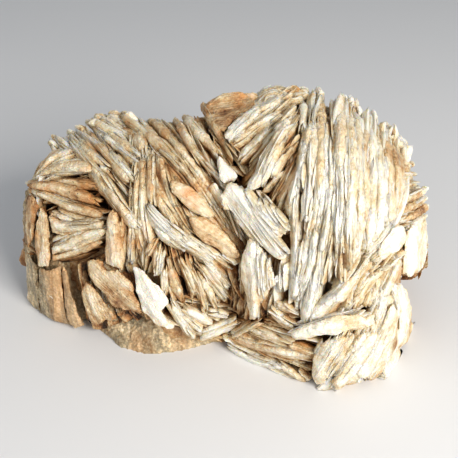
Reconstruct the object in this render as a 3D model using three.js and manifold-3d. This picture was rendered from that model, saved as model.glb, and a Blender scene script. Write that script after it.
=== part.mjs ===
// A bladed barite specimen: sheaves of thin tabular crystals grown together over one massive body.
// The whole cluster is one grown piece, so it is one solid. Millimetres, +Z up, resting on z = 0.
import * as THREE from "three";
import { ConvexGeometry } from "three/addons/geometries/ConvexGeometry.js";
import { mergeVertices } from "three/addons/utils/BufferGeometryUtils.js";
import Module from "manifold-3d";

// Overall form: the cluster's outline at stations along its length, from its left end to its right end.
// front and back are where the crystal tips reach at the foot, top is how high they reach.
const STATIONS = [
  { x: -80, front: 2, back: 24, top: 42 },
  { x: -72, front: -8, back: 36, top: 60 },
  { x: -50, front: -18, back: 44, top: 70 },
  { x: -25, front: -30, back: 47, top: 75 },
  { x: 0, front: -27, back: 48, top: 80 },
  { x: 18, front: -39, back: 48, top: 86 },
  { x: 38, front: -47, back: 46, top: 85 },
  { x: 57, front: -40, back: 42, top: 74 },
  { x: 67, front: -24, back: 34, top: 60 },
  { x: 75, front: -5, back: 20, top: 38 },
];
const WAIST = 4; // the station at the waist between the left mass and the right mass
const ROOM = 200; // a height and half width that the cluster stays well inside
const SQUARENESS = 2.4; // exponent of each cross-section's outline: 2 is an ellipse
const END_ROUNDING = 10; // mm beyond an end station over which the form closes
const BODY_SHARE = 0.86; // the massive body's size against the outline that the crystal tips reach
const BODY_LENGTH_SHARE = 0.9;
const BODY_CORNERS = 7; // steps of the body's section at each station

// The show face is the side that the cluster is displayed by. A place on it is given as it is seen from
// the show point: [across, up, lift], in mm on an upright card through the face's middle, and mm of
// lift out of the overall form.
const FACE_MIDDLE = new THREE.Vector3(0, 0, 38);
const SHOW_DISTANCE = 300;
const SHOW_ELEVATION = THREE.MathUtils.degToRad(35);
const SIGHT_REACH = 75; // how far before and behind the card a line of sight is searched

// Sheaves of the show face. first and last are the crests of a sheaf's outermost blades, each from its
// start to its end. lean turns the blades about their crests, so that a broad side shows.
const SHOW_SHEAVES = [
  {
    name: "comb_left", blades: 6, deep: 20, lean: 4,
    first: [[28, 49, 1], [22.5, -27, 3]],
    last: [[45, 51, 2], [41, -17, 5]],
  },
  {
    name: "comb_right", blades: 5, deep: 20, lean: 0,
    first: [[47, 50, 2], [44, -15, 5]],
    last: [[69, 31, 0], [64, 3, 2]],
  },
  {
    name: "comb_foot", blades: 3, deep: 16, lean: 10,
    first: [[33.5, -6, 4], [30, -35, 3]],
    last: [[25.5, -8, 3], [25, -33, 2]],
  },
  {
    name: "lower_diagonals", blades: 3, deep: 18, lean: 15,
    first: [[60, 1, 2], [31, -35, 2]],
    last: [[66, -13, 2], [45, -34, 1]],
  },
  {
    name: "right_plates", blades: 4, deep: 26, lean: 0,
    first: [[60, 14, -1], [75, 17, -1]],
    last: [[61, -13, -1], [75, -14, -1]],
  },
  {
    name: "lower_block", blades: 5, deep: 24, lean: 15,
    first: [[45.5, -38, 2], [33, -60, 2]],
    last: [[66, -22, 2], [61.5, -56, 2]],
  },
  {
    name: "cross_blade", blades: 2, deep: 10, lean: -30,
    first: [[22, -38.5, 6], [54.5, -33, 7]],
    last: [[24, -35, 3], [50, -29.5, 4]],
  },
  {
    name: "lower_middle", blades: 5, deep: 20, lean: 0,
    first: [[6, -35, 0], [34, -43, 0]],
    last: [[-2, -42, 0], [29, -60, 1]],
  },
  {
    name: "lower_middle_small", blades: 2, deep: 16, lean: 0,
    first: [[14.5, -26.5, 0], [26.5, -31, 0]],
    last: [[11, -35, 0], [26, -38, 0]],
  },
  {
    name: "kite", blades: 3, deep: 16, lean: 25,
    first: [[6.5, -5, 1], [1, -26, 0]],
    last: [[19, -10, 2], [16, -31, 2]],
  },
  {
    name: "kite_blade", blades: 1, deep: 12, thick: 4.5, lean: 65,
    first: [[5, -3, 6], [5.5, -37, 6]],
    last: [[5, -3, 6], [5.5, -37, 6]],
  },
  {
    name: "centre_diagonals", blades: 3, deep: 18, lean: -20,
    first: [[13, 14, 2], [24, -1, 2]],
    last: [[-5, 17, 2], [6, -6, 1]],
  },
  {
    name: "centre_plate", blades: 1, deep: 12, thick: 5, lean: -65,
    first: [[-1, 28, 4], [24, -14, 6]],
    last: [[-1, 28, 4], [24, -14, 6]],
  },
  {
    name: "upper_vee", blades: 4, deep: 20, lean: 25,
    first: [[-1, 40, -1], [24, 55, 0]],
    last: [[8, 13, 0], [27, 42, 1]],
  },
  {
    name: "vee_foot", blades: 3, deep: 16, lean: 5,
    first: [[12, 14, 0], [26, 36, 1]],
    last: [[22, -2, 1], [26.5, 14, 1]],
  },
  {
    name: "top_block", blades: 2, deep: 18, lean: 0,
    first: [[-9, 47, 0], [10, 52, 0]],
    last: [[-7, 40, 0], [7, 43, 0]],
  },
  {
    name: "upper_diagonals", blades: 3, deep: 18, lean: 10,
    first: [[-8, 46, -1], [5, 21, 0]],
    last: [[-16, 43, 0], [-2.5, 14, 0]],
  },
  {
    name: "long_diagonals", blades: 4, deep: 18, lean: 10,
    first: [[-17, 42, 0], [7, -1, -1]],
    last: [[-31, 40, 0], [1, -9, -1]],
  },
  {
    name: "left_fan", blades: 4, deep: 18, lean: 20,
    first: [[-26.5, 28, 1], [3, -8, 1]],
    last: [[-33, 22, 2], [-14.5, -3, 3]],
  },
  {
    name: "left_uprights", blades: 3, deep: 16, lean: 10,
    first: [[-36, 40.5, 1], [-37, 8, 2]],
    last: [[-29, 30, 1], [-26, 10, 3]],
  },
  {
    name: "white_ridge", blades: 1, deep: 12, thick: 6, lean: 30,
    first: [[-31.5, 9, 5], [-6.5, -10, 4]],
    last: [[-31.5, 9, 5], [-6.5, -10, 4]],
  },
  {
    name: "lower_fan", blades: 5, deep: 18, lean: 15,
    first: [[-28, -3, 1], [-22, -28, 1]],
    last: [[-7, -8, 2], [2, -26, 0]],
  },
  {
    name: "lower_small", blades: 4, deep: 18, lean: 0,
    first: [[-21, -25, 0], [0, -31, 0]],
    last: [[-24, -33, 0], [-8, -43, 0]],
  },
  {
    name: "left_posts", blades: 4, deep: 16, lean: 10,
    first: [[-45, 9, 1], [-45, -17, 1]],
    last: [[-29, 6, 2], [-30, -16, 1]],
  },
  {
    name: "upper_left", blades: 6, deep: 18, lean: 10,
    first: [[-36, 45, 0], [-24, 28, 0]],
    last: [[-62, 34, 0], [-36, 0, 1]],
  },
  {
    name: "left_level", blades: 5, deep: 18, lean: 0,
    first: [[-73, 20, 0], [-51, 26, 0]],
    last: [[-68, 1, 0], [-45, 2, 0]],
  },
  {
    name: "left_pair", blades: 3, deep: 16, lean: 0,
    first: [[-67, -3, 0], [-45, 2, 0]],
    last: [[-66, -12, 0], [-48, -8, 0]],
  },
  {
    name: "left_tip", blades: 1, deep: 10, thick: 6, lean: 0,
    first: [[-60, 29, 0], [-66.5, 36, 0]],
    last: [[-60, 29, 0], [-66.5, 36, 0]],
  },
  {
    name: "left_plates", blades: 3, deep: 18, lean: 30,
    first: [[-58, -14, 1], [-52, -37, 1]],
    last: [[-48, -12, 3], [-31, -34, 2]],
  },
  {
    name: "tan_plate", blades: 1, deep: 10, thick: 4.5, lean: 70,
    first: [[-53, -16, 5], [-34, -36, 4]],
    last: [[-53, -16, 5], [-34, -36, 4]],
  },
  {
    name: "white_plate", blades: 1, deep: 11, thick: 4.5, lean: 70,
    first: [[-39, -15, 5], [-26, -40, 4]],
    last: [[-39, -15, 5], [-26, -40, 4]],
  },
];

// Sheaves behind the show face lie in rows and columns from the right end round the back to the left end,
// each turned its own way. Angles are in degrees, from the right end anticlockwise and from level upwards.
const BACK_AROUND = [24, 48, 72, 96, 120, 142];
const BACK_UP = [4, 36, 66];
const BACK_SPINE = 45; // half length of the line inside the body that the columns spread out from
const BACK_SPINE_RISE = 0.22; // height of that line against the cluster's height there
const BACK_SHEAF = { blades: 3, deep: 14, lean: 5, long: 36, wide: 20 };
const BACK_NUMBER = 200; // the first back sheaf's number: each sheaf's number sets its small shifts

// How the blades of a sheaf differ from each other, at most: along the crest against its length,
// lift in mm, and turn about the crest in degrees.
const SLIDE = 0.06;
const RISE = 0.9;
const TURN = 5;

// One blade.
const SHORT_CREST = [0, 0.45, 1]; // where a short blade's crest has its corners, along its length
const LONG_CREST = [0, 0.3, 0.65, 1];
const LONG = 42; // a blade from this length on is a long one
const TIP_DIP = 2.2; // how far a blade's two tips dip below its crest
const RIDGE = 3; // height of a sheaf's ridges over the grooves between them, at their tips
const ROOT = 0.6; // half width of a blade's root against the pitch of its sheaf
const BLUNTNESS = 0.3; // thickness of a single blade's crest against its full thickness
const PLATE_ENDS = [0.15, 0.85]; // where a single blade's inner corners lie along its length

// Blocks of the massive body that show bare, broken faces: the left end, and the foot under the left plates.
const BROKEN_BLOCKS = {
  left_end: [
    [-80, 2, 0], [-60, -13, 0], [-66, -5, 37], [-78, 6, 41], [-79, 18, 44],
    [-45, 10, 0], [-45, 14, 40], [-78, 24, 0],
  ],
  foot: [
    [-52, -12, 0], [-41, -24, 0], [-30, -28, 0], [-18, -26, 0], [-5, -21, 0],
    [-46, -14, 10], [-30, -22, 11], [-12, -20, 7], [-40, 10, 14], [0, 10, 12], [-50, 10, 0], [0, 10, 0],
  ],
};

// The corner under the right end is broken away: its outline as it is seen from the show point, [across, up].
const BROKEN_CORNER = [[68.5, -23], [75, -15], [100, -10], [100, -100], [68.5, -100]];
const BREAK_REACH = [0.5, 1.6]; // from where to where the break runs, against the distance to the card

const wasm = await Module();
wasm.setup();

// A repeatable number from -1 to 1 for each pair of whole numbers.
function sway(a, b) {
  const wave = Math.sin(a * 127.1 + b * 311.7) * 43758.5453;
  return 2 * (wave - Math.floor(wave)) - 1;
}

// The overall form's section at x: its middle, half depth and height.
function sectionAt(x) {
  const found = STATIONS.findIndex((station) => station.x > x);
  const next = found < 1 ? (found === 0 ? 1 : STATIONS.length - 1) : found;
  const [a, b] = [STATIONS[next - 1], STATIONS[next]];
  const share = THREE.MathUtils.clamp((x - a.x) / (b.x - a.x), 0, 1);
  const mix = (key) => THREE.MathUtils.lerp(a[key], b[key], share);
  const [front, back] = [mix("front"), mix("back")];
  return { middle: (front + back) / 2, half: (back - front) / 2, top: mix("top") };
}

// How far out a point lies in the overall form: 1 is on its surface.
function outness(point) {
  const x = THREE.MathUtils.clamp(point.x, STATIONS[0].x, STATIONS.at(-1).x);
  const { middle, half, top } = sectionAt(x);
  const across = Math.abs((point.y - middle) / half) ** SQUARENESS;
  const up = Math.abs(point.z / top) ** SQUARENESS;
  return (across + up) ** (1 / SQUARENESS) + Math.abs(point.x - x) / END_ROUNDING;
}

// The outward direction of the overall form at a point.
function outward(point) {
  const step = 0.5;
  const at = (x, y, z) => outness(point.clone().add(new THREE.Vector3(x, y, z)));
  return new THREE.Vector3(
    at(step, 0, 0) - at(-step, 0, 0),
    at(0, step, 0) - at(0, -step, 0),
    at(0, 0, step) - at(0, 0, -step),
  ).normalize();
}

// The first place on the overall form that a line meets, or its nearest pass.
function meetForm(from, direction) {
  const at = (reach) => from.clone().addScaledVector(direction, reach);
  let best = SIGHT_REACH;
  let least = Infinity;
  for (let reach = SIGHT_REACH; reach > -SIGHT_REACH; reach -= 0.5) {
    const out = outness(at(reach));
    if (out < least) [best, least] = [reach, out];
    if (out < 1) break;
  }
  return at(best);
}

const CARD_UP = new THREE.Vector3(0, Math.sin(SHOW_ELEVATION), Math.cos(SHOW_ELEVATION));
const TO_EYE = new THREE.Vector3(0, -Math.cos(SHOW_ELEVATION), Math.sin(SHOW_ELEVATION));
const EYE = FACE_MIDDLE.clone().addScaledVector(TO_EYE, SHOW_DISTANCE);

// A place on the card.
function onCard(across, up) {
  return FACE_MIDDLE.clone().addScaledVector(CARD_UP, up).add(new THREE.Vector3(across, 0, 0));
}

// A place on the show face as a point of the solid.
function onShowFace([across, up, lift]) {
  const card = onCard(across, up);
  const sight = EYE.clone().sub(card).normalize();
  return meetForm(card, sight).addScaledVector(sight, lift);
}

const mixed = (a, b, share) => a.map((value, axis) => value + (b[axis] - value) * share);

// A function that moves a point by so much inwards and so much sideways in a blade's own directions.
function bladeShift(crest, inward) {
  const along = crest.at(-1).clone().sub(crest[0]).normalize();
  const down = inward.clone().addScaledVector(along, -inward.dot(along)).normalize();
  const side = new THREE.Vector3().crossVectors(along, down);
  return (point, d, s) => point.clone().addScaledVector(down, d).addScaledVector(side, s);
}

// A blade of a sheaf: a roof-shaped ridge on a straight root that runs into its neighbours' roots.
function ridge(crest, inward, deep, pitch) {
  const shifted = bladeShift(crest, inward);
  const tips = [crest[0], crest.at(-1)];
  const points = crest.map((point) => shifted(point, tips.includes(point) ? TIP_DIP : 0, 0));
  for (const half of [-ROOT * pitch, ROOT * pitch]) {
    points.push(...crest.map((point) => shifted(point, TIP_DIP + RIDGE, half)));
    points.push(...tips.map((tip) => shifted(tip, deep, half)));
  }
  return new ConvexGeometry(points);
}

// A blade that stands alone: a flat crystal with a blunt crest and a broad side that shows.
function plate(crest, inward, deep, thick) {
  const shifted = bladeShift(crest, inward);
  const [start, end] = [crest[0], crest.at(-1)];
  const inner = PLATE_ENDS.map((share) => start.clone().lerp(end, share));
  const points = [start, end].map((tip) => shifted(tip, TIP_DIP, 0));
  points.push(...inner.map((point) => shifted(point, deep, 0)));
  for (const half of [-thick / 2, thick / 2]) {
    points.push(...crest.slice(1, -1).map((point) => shifted(point, 0, half * BLUNTNESS)));
    points.push(...inner.map((point) => shifted(point, deep / 2, half)));
  }
  return new ConvexGeometry(points);
}

// The blades of one sheaf, spread evenly from its first crest to its last with small repeatable shifts.
// crestAt gives the point on the overall form at a share across the sheaf, a share along and a lift.
function sheafBlades({ blades, deep, thick, lean }, number, crestAt) {
  const gaps = Math.max(1, blades - 1);
  const pitch = crestAt(0, 0.5, 0).distanceTo(crestAt(1, 0.5, 0)) / gaps;
  return Array.from({ length: blades }, (_, k) => {
    const share = k / gaps;
    const slide = SLIDE * sway(number, k);
    const lift = RISE * sway(number + 50, k);
    const steps = crestAt(share, 0, 0).distanceTo(crestAt(share, 1, 0)) > LONG ? LONG_CREST : SHORT_CREST;
    const crest = steps.map((step) => crestAt(share, step + slide, lift));
    const along = crest.at(-1).clone().sub(crest[0]).normalize();
    const turn = THREE.MathUtils.degToRad(lean + TURN * sway(number + 100, k));
    const inward = outward(crestAt(share, 0.5, 0)).negate().applyAxisAngle(along, turn);
    return blades > 1 ? ridge(crest, inward, deep, pitch) : plate(crest, inward, deep, thick);
  });
}

// A sheaf of the show face.
function showBlades(sheaf, number) {
  const { first, last } = sheaf;
  return sheafBlades(sheaf, number, (share, step, lift) => {
    const place = mixed(mixed(first[0], last[0], share), mixed(first[1], last[1], share), step);
    place[2] += lift;
    return onShowFace(place);
  });
}

// A sheaf on the back, by its angle around and up.
function backBlades(around, up, number) {
  const [turned, raised] = [around, up].map(THREE.MathUtils.degToRad);
  const level = Math.cos(raised);
  const out = new THREE.Vector3(level * Math.cos(turned), level * Math.sin(turned), Math.sin(raised));
  const x = BACK_SPINE * Math.cos(turned);
  const { middle, top } = sectionAt(x);
  const centre = meetForm(new THREE.Vector3(x, middle, BACK_SPINE_RISE * top), out);
  const face = outward(centre);
  const along = new THREE.Vector3(1, 0, 0).projectOnPlane(face).normalize();
  along.applyAxisAngle(face, Math.PI * sway(number, 0));
  const across = new THREE.Vector3().crossVectors(face, along);
  const { long, wide } = BACK_SHEAF;
  return sheafBlades(BACK_SHEAF, number, (share, step, lift) => {
    const at = centre.clone();
    at.addScaledVector(along, (step - 0.5) * long).addScaledVector(across, (share - 0.5) * wide);
    return meetForm(at, face).addScaledVector(face, lift);
  });
}

// One of the two masses under the crystals, with flat faces between the corners of its sections.
function massGeometry(stations) {
  const bend = (value) => Math.sign(value) * Math.abs(value) ** (2 / SQUARENESS);
  const points = stations.flatMap(({ x, front, back, top }) =>
    Array.from({ length: BODY_CORNERS + 1 }, (_, k) => {
      const angle = (Math.PI * k) / BODY_CORNERS;
      const y = (front + back) / 2 + ((back - front) / 2) * BODY_SHARE * bend(Math.cos(angle));
      const z = Math.max(0, top * BODY_SHARE * bend(Math.sin(angle)));
      return new THREE.Vector3(x * BODY_LENGTH_SHARE, y, z);
    }),
  );
  return new ConvexGeometry(points);
}

// A closed geometry as a solid that can be joined and cut.
function solidOf(geometry) {
  const bare = geometry.clone();
  bare.deleteAttribute("normal");
  bare.deleteAttribute("uv");
  const merged = mergeVertices(bare, 1e-4);
  return new wasm.Manifold(
    new wasm.Mesh({
      numProp: 3,
      vertProperties: merged.attributes.position.array,
      triVerts: new Uint32Array(merged.index.array),
    }),
  );
}

function geometryOf(solid) {
  const mesh = solid.getMesh();
  return new THREE.BufferGeometry()
    .setAttribute("position", new THREE.BufferAttribute(mesh.vertProperties, 3))
    .setIndex(new THREE.BufferAttribute(mesh.triVerts, 1));
}

const pieces = [STATIONS.slice(0, WAIST + 1), STATIONS.slice(WAIST)].map(massGeometry);
for (const corners of Object.values(BROKEN_BLOCKS))
  pieces.push(new ConvexGeometry(corners.map((corner) => new THREE.Vector3(...corner))));
SHOW_SHEAVES.forEach((sheaf, number) => pieces.push(...showBlades(sheaf, number)));
const backPlaces = BACK_UP.flatMap((up) => BACK_AROUND.map((around) => [around, up]));
backPlaces.forEach(([around, up], k) => pieces.push(...backBlades(around, up, BACK_NUMBER + k)));
let specimen = pieces.map(solidOf).reduce((whole, piece) => whole.add(piece));

// The foot is broken off flat, so the cluster rests on z = 0.
const above = new THREE.BoxGeometry(2 * ROOM, 2 * ROOM, ROOM).translate(0, 0, ROOM / 2);
specimen = specimen.intersect(solidOf(above));
const breakCorners = BROKEN_CORNER.flatMap(([across, up]) =>
  BREAK_REACH.map((share) => EYE.clone().lerp(onCard(across, up), share)),
);
specimen = specimen.subtract(solidOf(new ConvexGeometry(breakCorners)));
// Small hollows sealed between blades are filled: only the outer skin is kept.
specimen = specimen.decompose().reduce((a, b) => (a.volume() > b.volume() ? a : b));

const barite = new THREE.Mesh(
  geometryOf(specimen),
  new THREE.MeshStandardMaterial({ color: 0xe6d3b0, roughness: 0.5, metalness: 0 }),
);
barite.name = "barite_cluster";
const group = new THREE.Group();
group.add(barite);
export default group;
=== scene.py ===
"""A bladed barite specimen: sheaves of thin crystal laths over a massive body, on a pale floor."""

import math
from collections import namedtuple

import bmesh
import bpy
import numpy as np
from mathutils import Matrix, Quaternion, Vector, geometry, noise


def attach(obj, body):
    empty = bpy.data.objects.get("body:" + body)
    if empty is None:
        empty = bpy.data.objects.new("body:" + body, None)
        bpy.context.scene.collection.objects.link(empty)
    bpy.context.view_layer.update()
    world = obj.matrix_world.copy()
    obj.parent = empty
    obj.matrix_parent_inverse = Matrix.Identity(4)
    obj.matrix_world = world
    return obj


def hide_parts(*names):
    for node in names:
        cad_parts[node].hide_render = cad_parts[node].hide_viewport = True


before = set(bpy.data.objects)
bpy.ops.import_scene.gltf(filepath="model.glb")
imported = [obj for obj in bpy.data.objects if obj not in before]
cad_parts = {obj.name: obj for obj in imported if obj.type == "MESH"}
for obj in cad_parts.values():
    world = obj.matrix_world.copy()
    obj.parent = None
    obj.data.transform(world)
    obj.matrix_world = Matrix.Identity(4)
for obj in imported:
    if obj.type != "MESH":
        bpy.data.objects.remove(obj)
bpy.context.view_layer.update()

bl_info = {
    "name": "Bladed barite specimen",
    "version": (1, 0, 0),
    "blender": (4, 5, 0),
    "location": "3D View > Sidebar > Barite",
    "description": "Builds a cluster of bladed barite crystals and the stage it stands on",
    "category": "Add Mesh",
}

NODE = "barite_cluster"
MM = 0.001
BLADED = "Bladed barite, iron stained"
MASSIVE = "Massive barite, broken"


def hexed(colour):
    """An sRGB hex colour as linear red, green, blue and alpha."""
    shares = [int(colour[k : k + 2], 16) / 255 for k in (1, 3, 5)]
    return (*(c / 12.92 if c <= 0.04045 else ((c + 0.055) / 1.055) ** 2.4 for c in shares), 1.0)


# The overall form, in mm: x, front and back of the foot, and top, as in the part's solid.
STATIONS = np.array([
    (-80, 2, 24, 42), (-72, -8, 36, 60), (-50, -18, 44, 70), (-25, -30, 47, 75), (0, -27, 48, 80),
    (18, -39, 48, 86), (38, -47, 46, 85), (57, -40, 42, 74), (67, -24, 34, 60), (75, -5, 20, 38),
], float)
WAIST = 4  # the station where its two masses meet
SQUARENESS = 2.4
END_ROUNDING = 10
FORM_RADIUS = 45  # usual distance from the form's spine to its skin
CREST_FREE_OF_STAIN_AND_SHADE = 1.2  # how far below its crest a crystal stays free of rust stain and painted shade
LOWEST = 1.5  # how high over the foot a lath's middle has to be
REACH = (1.09, 0.035)  # how far out in the form a lath may lie, and how much more for a mm of lift

# The massive body inside: its share of the form across and along, and corners in a section.
CORE_SHARE = 0.84
CORE_LENGTH_SHARE = 0.89
CORE_CORNERS = 12

# The show face, as the photo's camera sees it. A place on it is (across, up) on a card through its
# middle, and a lift towards the eye, in mm.
FACE_MIDDLE = np.array((0.0, 0.0, 38.0))
SHOW_DISTANCE = 300
SHOW_ELEVATION = math.radians(35)
PIXEL = 0.375
HALF_PHOTO = 229  # in pixels
CARD_UP = np.array((0, math.sin(SHOW_ELEVATION), math.cos(SHOW_ELEVATION)))
TO_EYE = np.array((0, -math.cos(SHOW_ELEVATION), math.sin(SHOW_ELEVATION)))
EYE = FACE_MIDDLE + TO_EYE * SHOW_DISTANCE
SIGHT = np.arange(75, -75, -0.5)  # steps along a line of sight, from the eye's side
ALONG = (0, 0.5, 1)  # the start, middle and end of a lath

Sheaf = namedtuple("Sheaf", "ridges pitch short long lean tone first last")

# Sheaves of the show face: how many ridges, distance between lines of laths and their shortest and
# longest length in mm, lean in degrees, tone, and the crests of the outermost ridges as
# (across, up, lift) at their two ends. Tone runs from 1 for the lightest crystals to -1 for the
# darkest.
SHEAVES = {
    "comb": {
        "comb_left": Sheaf(6, 3.0, 14, 46, 4, 0.25,
            ((28, 49, 1), (22.5, -27, 3)), ((45, 51, 2), (41, -17, 5))),
        "comb_right": Sheaf(5, 3.2, 12, 34, 0, 0.4,
            ((47, 50, 2), (44, -15, 5)), ((69, 31, 0), (64, 3, 2))),
        "comb_foot": Sheaf(3, 2.8, 10, 26, 10, 0.5,
            ((33.5, -6, 4), (30, -35, 3)), ((25.5, -8, 3), (25, -33, 2))),
        "right_plates": Sheaf(4, 1.7, 8, 18, 0, 0.3,
            ((60, 14, -1), (75, 17, -1)), ((61, -13, -1), (75, -14, -1))),
    },
    "lower_right": {
        "lower_diagonals": Sheaf(3, 3.4, 16, 36, 15, 0.2,
            ((60, 1, 2), (31, -35, 2)), ((66, -13, 2), (45, -34, 1))),
        "lower_block": Sheaf(5, 4.2, 16, 34, 20, 0.3,
            ((45.5, -38, 2), (33, -60, 2)), ((66, -22, 2), (61.5, -56, 2))),
        "cross_blade": Sheaf(2, 3.0, 22, 34, -30, 0.9,
            ((22, -38.5, 6), (54.5, -33, 7)), ((24, -35, 3), (50, -29.5, 4))),
        "lower_middle": Sheaf(5, 2.2, 12, 30, 0, -0.2,
            ((2, -33, 0), (34, -43, 0)), ((-3, -42, 0), (29, -60, 1))),
        "lower_middle_small": Sheaf(2, 1.8, 6, 13, 0, -0.3,
            ((14.5, -26.5, 0), (26.5, -31, 0)), ((11, -35, 0), (26, -38, 0))),
    },
    "centre": {
        "kite": Sheaf(3, 2.8, 10, 24, 25, 0.0,
            ((5, -5, 0), (-1, -34, -1)), ((19, -10, 2), (17, -33, 2))),
        "centre_diagonals": Sheaf(3, 2.6, 10, 26, -20, 0.0,
            ((13, 14, 2), (24, -1, 2)), ((-5, 17, 2), (6, -6, 1))),
        "upper_vee": Sheaf(4, 2.8, 16, 36, 30, -0.5,
            ((-1, 40, -1), (24, 55, 0)), ((8, 13, 0), (27, 42, 1))),
        "vee_foot": Sheaf(3, 2.8, 10, 24, 5, -0.2,
            ((12, 14, 0), (26, 36, 1)), ((22, -2, 1), (26.5, 14, 1))),
        "top_block": Sheaf(2, 4.0, 8, 18, 0, -0.5,
            ((-9, 47, 0), (10, 52, 0)), ((-7, 40, 0), (7, 43, 0))),
        "upper_diagonals": Sheaf(3, 2.6, 14, 34, 10, -0.4,
            ((-8, 46, -1), (5, 21, 0)), ((-16, 43, 0), (-2.5, 14, 0))),
        "long_diagonals": Sheaf(4, 2.4, 18, 52, 10, -0.4,
            ((-17, 42, 0), (7, -1, -1)), ((-31, 40, 0), (1, -9, -1))),
    },
    "left": {
        "left_fan": Sheaf(4, 3.4, 16, 38, 35, -0.7,
            ((-26.5, 28, 1), (3, -8, 1)), ((-33, 22, 2), (-14.5, -3, 3))),
        "left_uprights": Sheaf(3, 2.6, 10, 28, 10, -0.3,
            ((-36, 40.5, 1), (-37, 8, 2)), ((-29, 30, 1), (-26, 10, 3))),
        "lower_fan": Sheaf(5, 2.4, 10, 28, 15, -0.6,
            ((-28, -3, 1), (-22, -28, 1)), ((-4, -6, 1), (4, -28, 0))),
        "lower_small": Sheaf(4, 2.6, 8, 20, 0, -0.2,
            ((-21, -25, 0), (4, -31, 0)), ((-24, -34, 0), (-4, -44, 0))),
        "left_posts": Sheaf(4, 3.0, 14, 26, 10, -0.4,
            ((-45, 9, 1), (-45, -17, 1)), ((-29, 6, 2), (-30, -16, 1))),
        "upper_left": Sheaf(6, 2.8, 14, 40, 10, 0.0,
            ((-36, 45, 0), (-24, 28, 0)), ((-62, 34, 0), (-36, 0, 1))),
        "left_level": Sheaf(5, 2.6, 12, 26, 0, -0.5,
            ((-73, 20, 0), (-51, 26, 0)), ((-68, 1, 0), (-45, 2, 0))),
        "left_pair": Sheaf(3, 3.6, 14, 24, 0, -0.4,
            ((-67, -3, 0), (-45, 2, 0)), ((-66, -12, 0), (-48, -8, 0))),
        "left_plates": Sheaf(3, 4.2, 14, 26, 35, -0.9,
            ((-58, -14, 1), (-52, -37, 1)), ((-48, -12, 3), (-31, -34, 2))),
    },
}

Plate = namedtuple("Plate", "lift crown depth tone spine outline")
PLATE_PITCH = 1.3  # between the laths on a face
SKIN_STEP = 0.8  # between the points of a crystal's skin
ROOT_SHARE = 0.75  # breadth of a broad crystal's root

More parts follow.
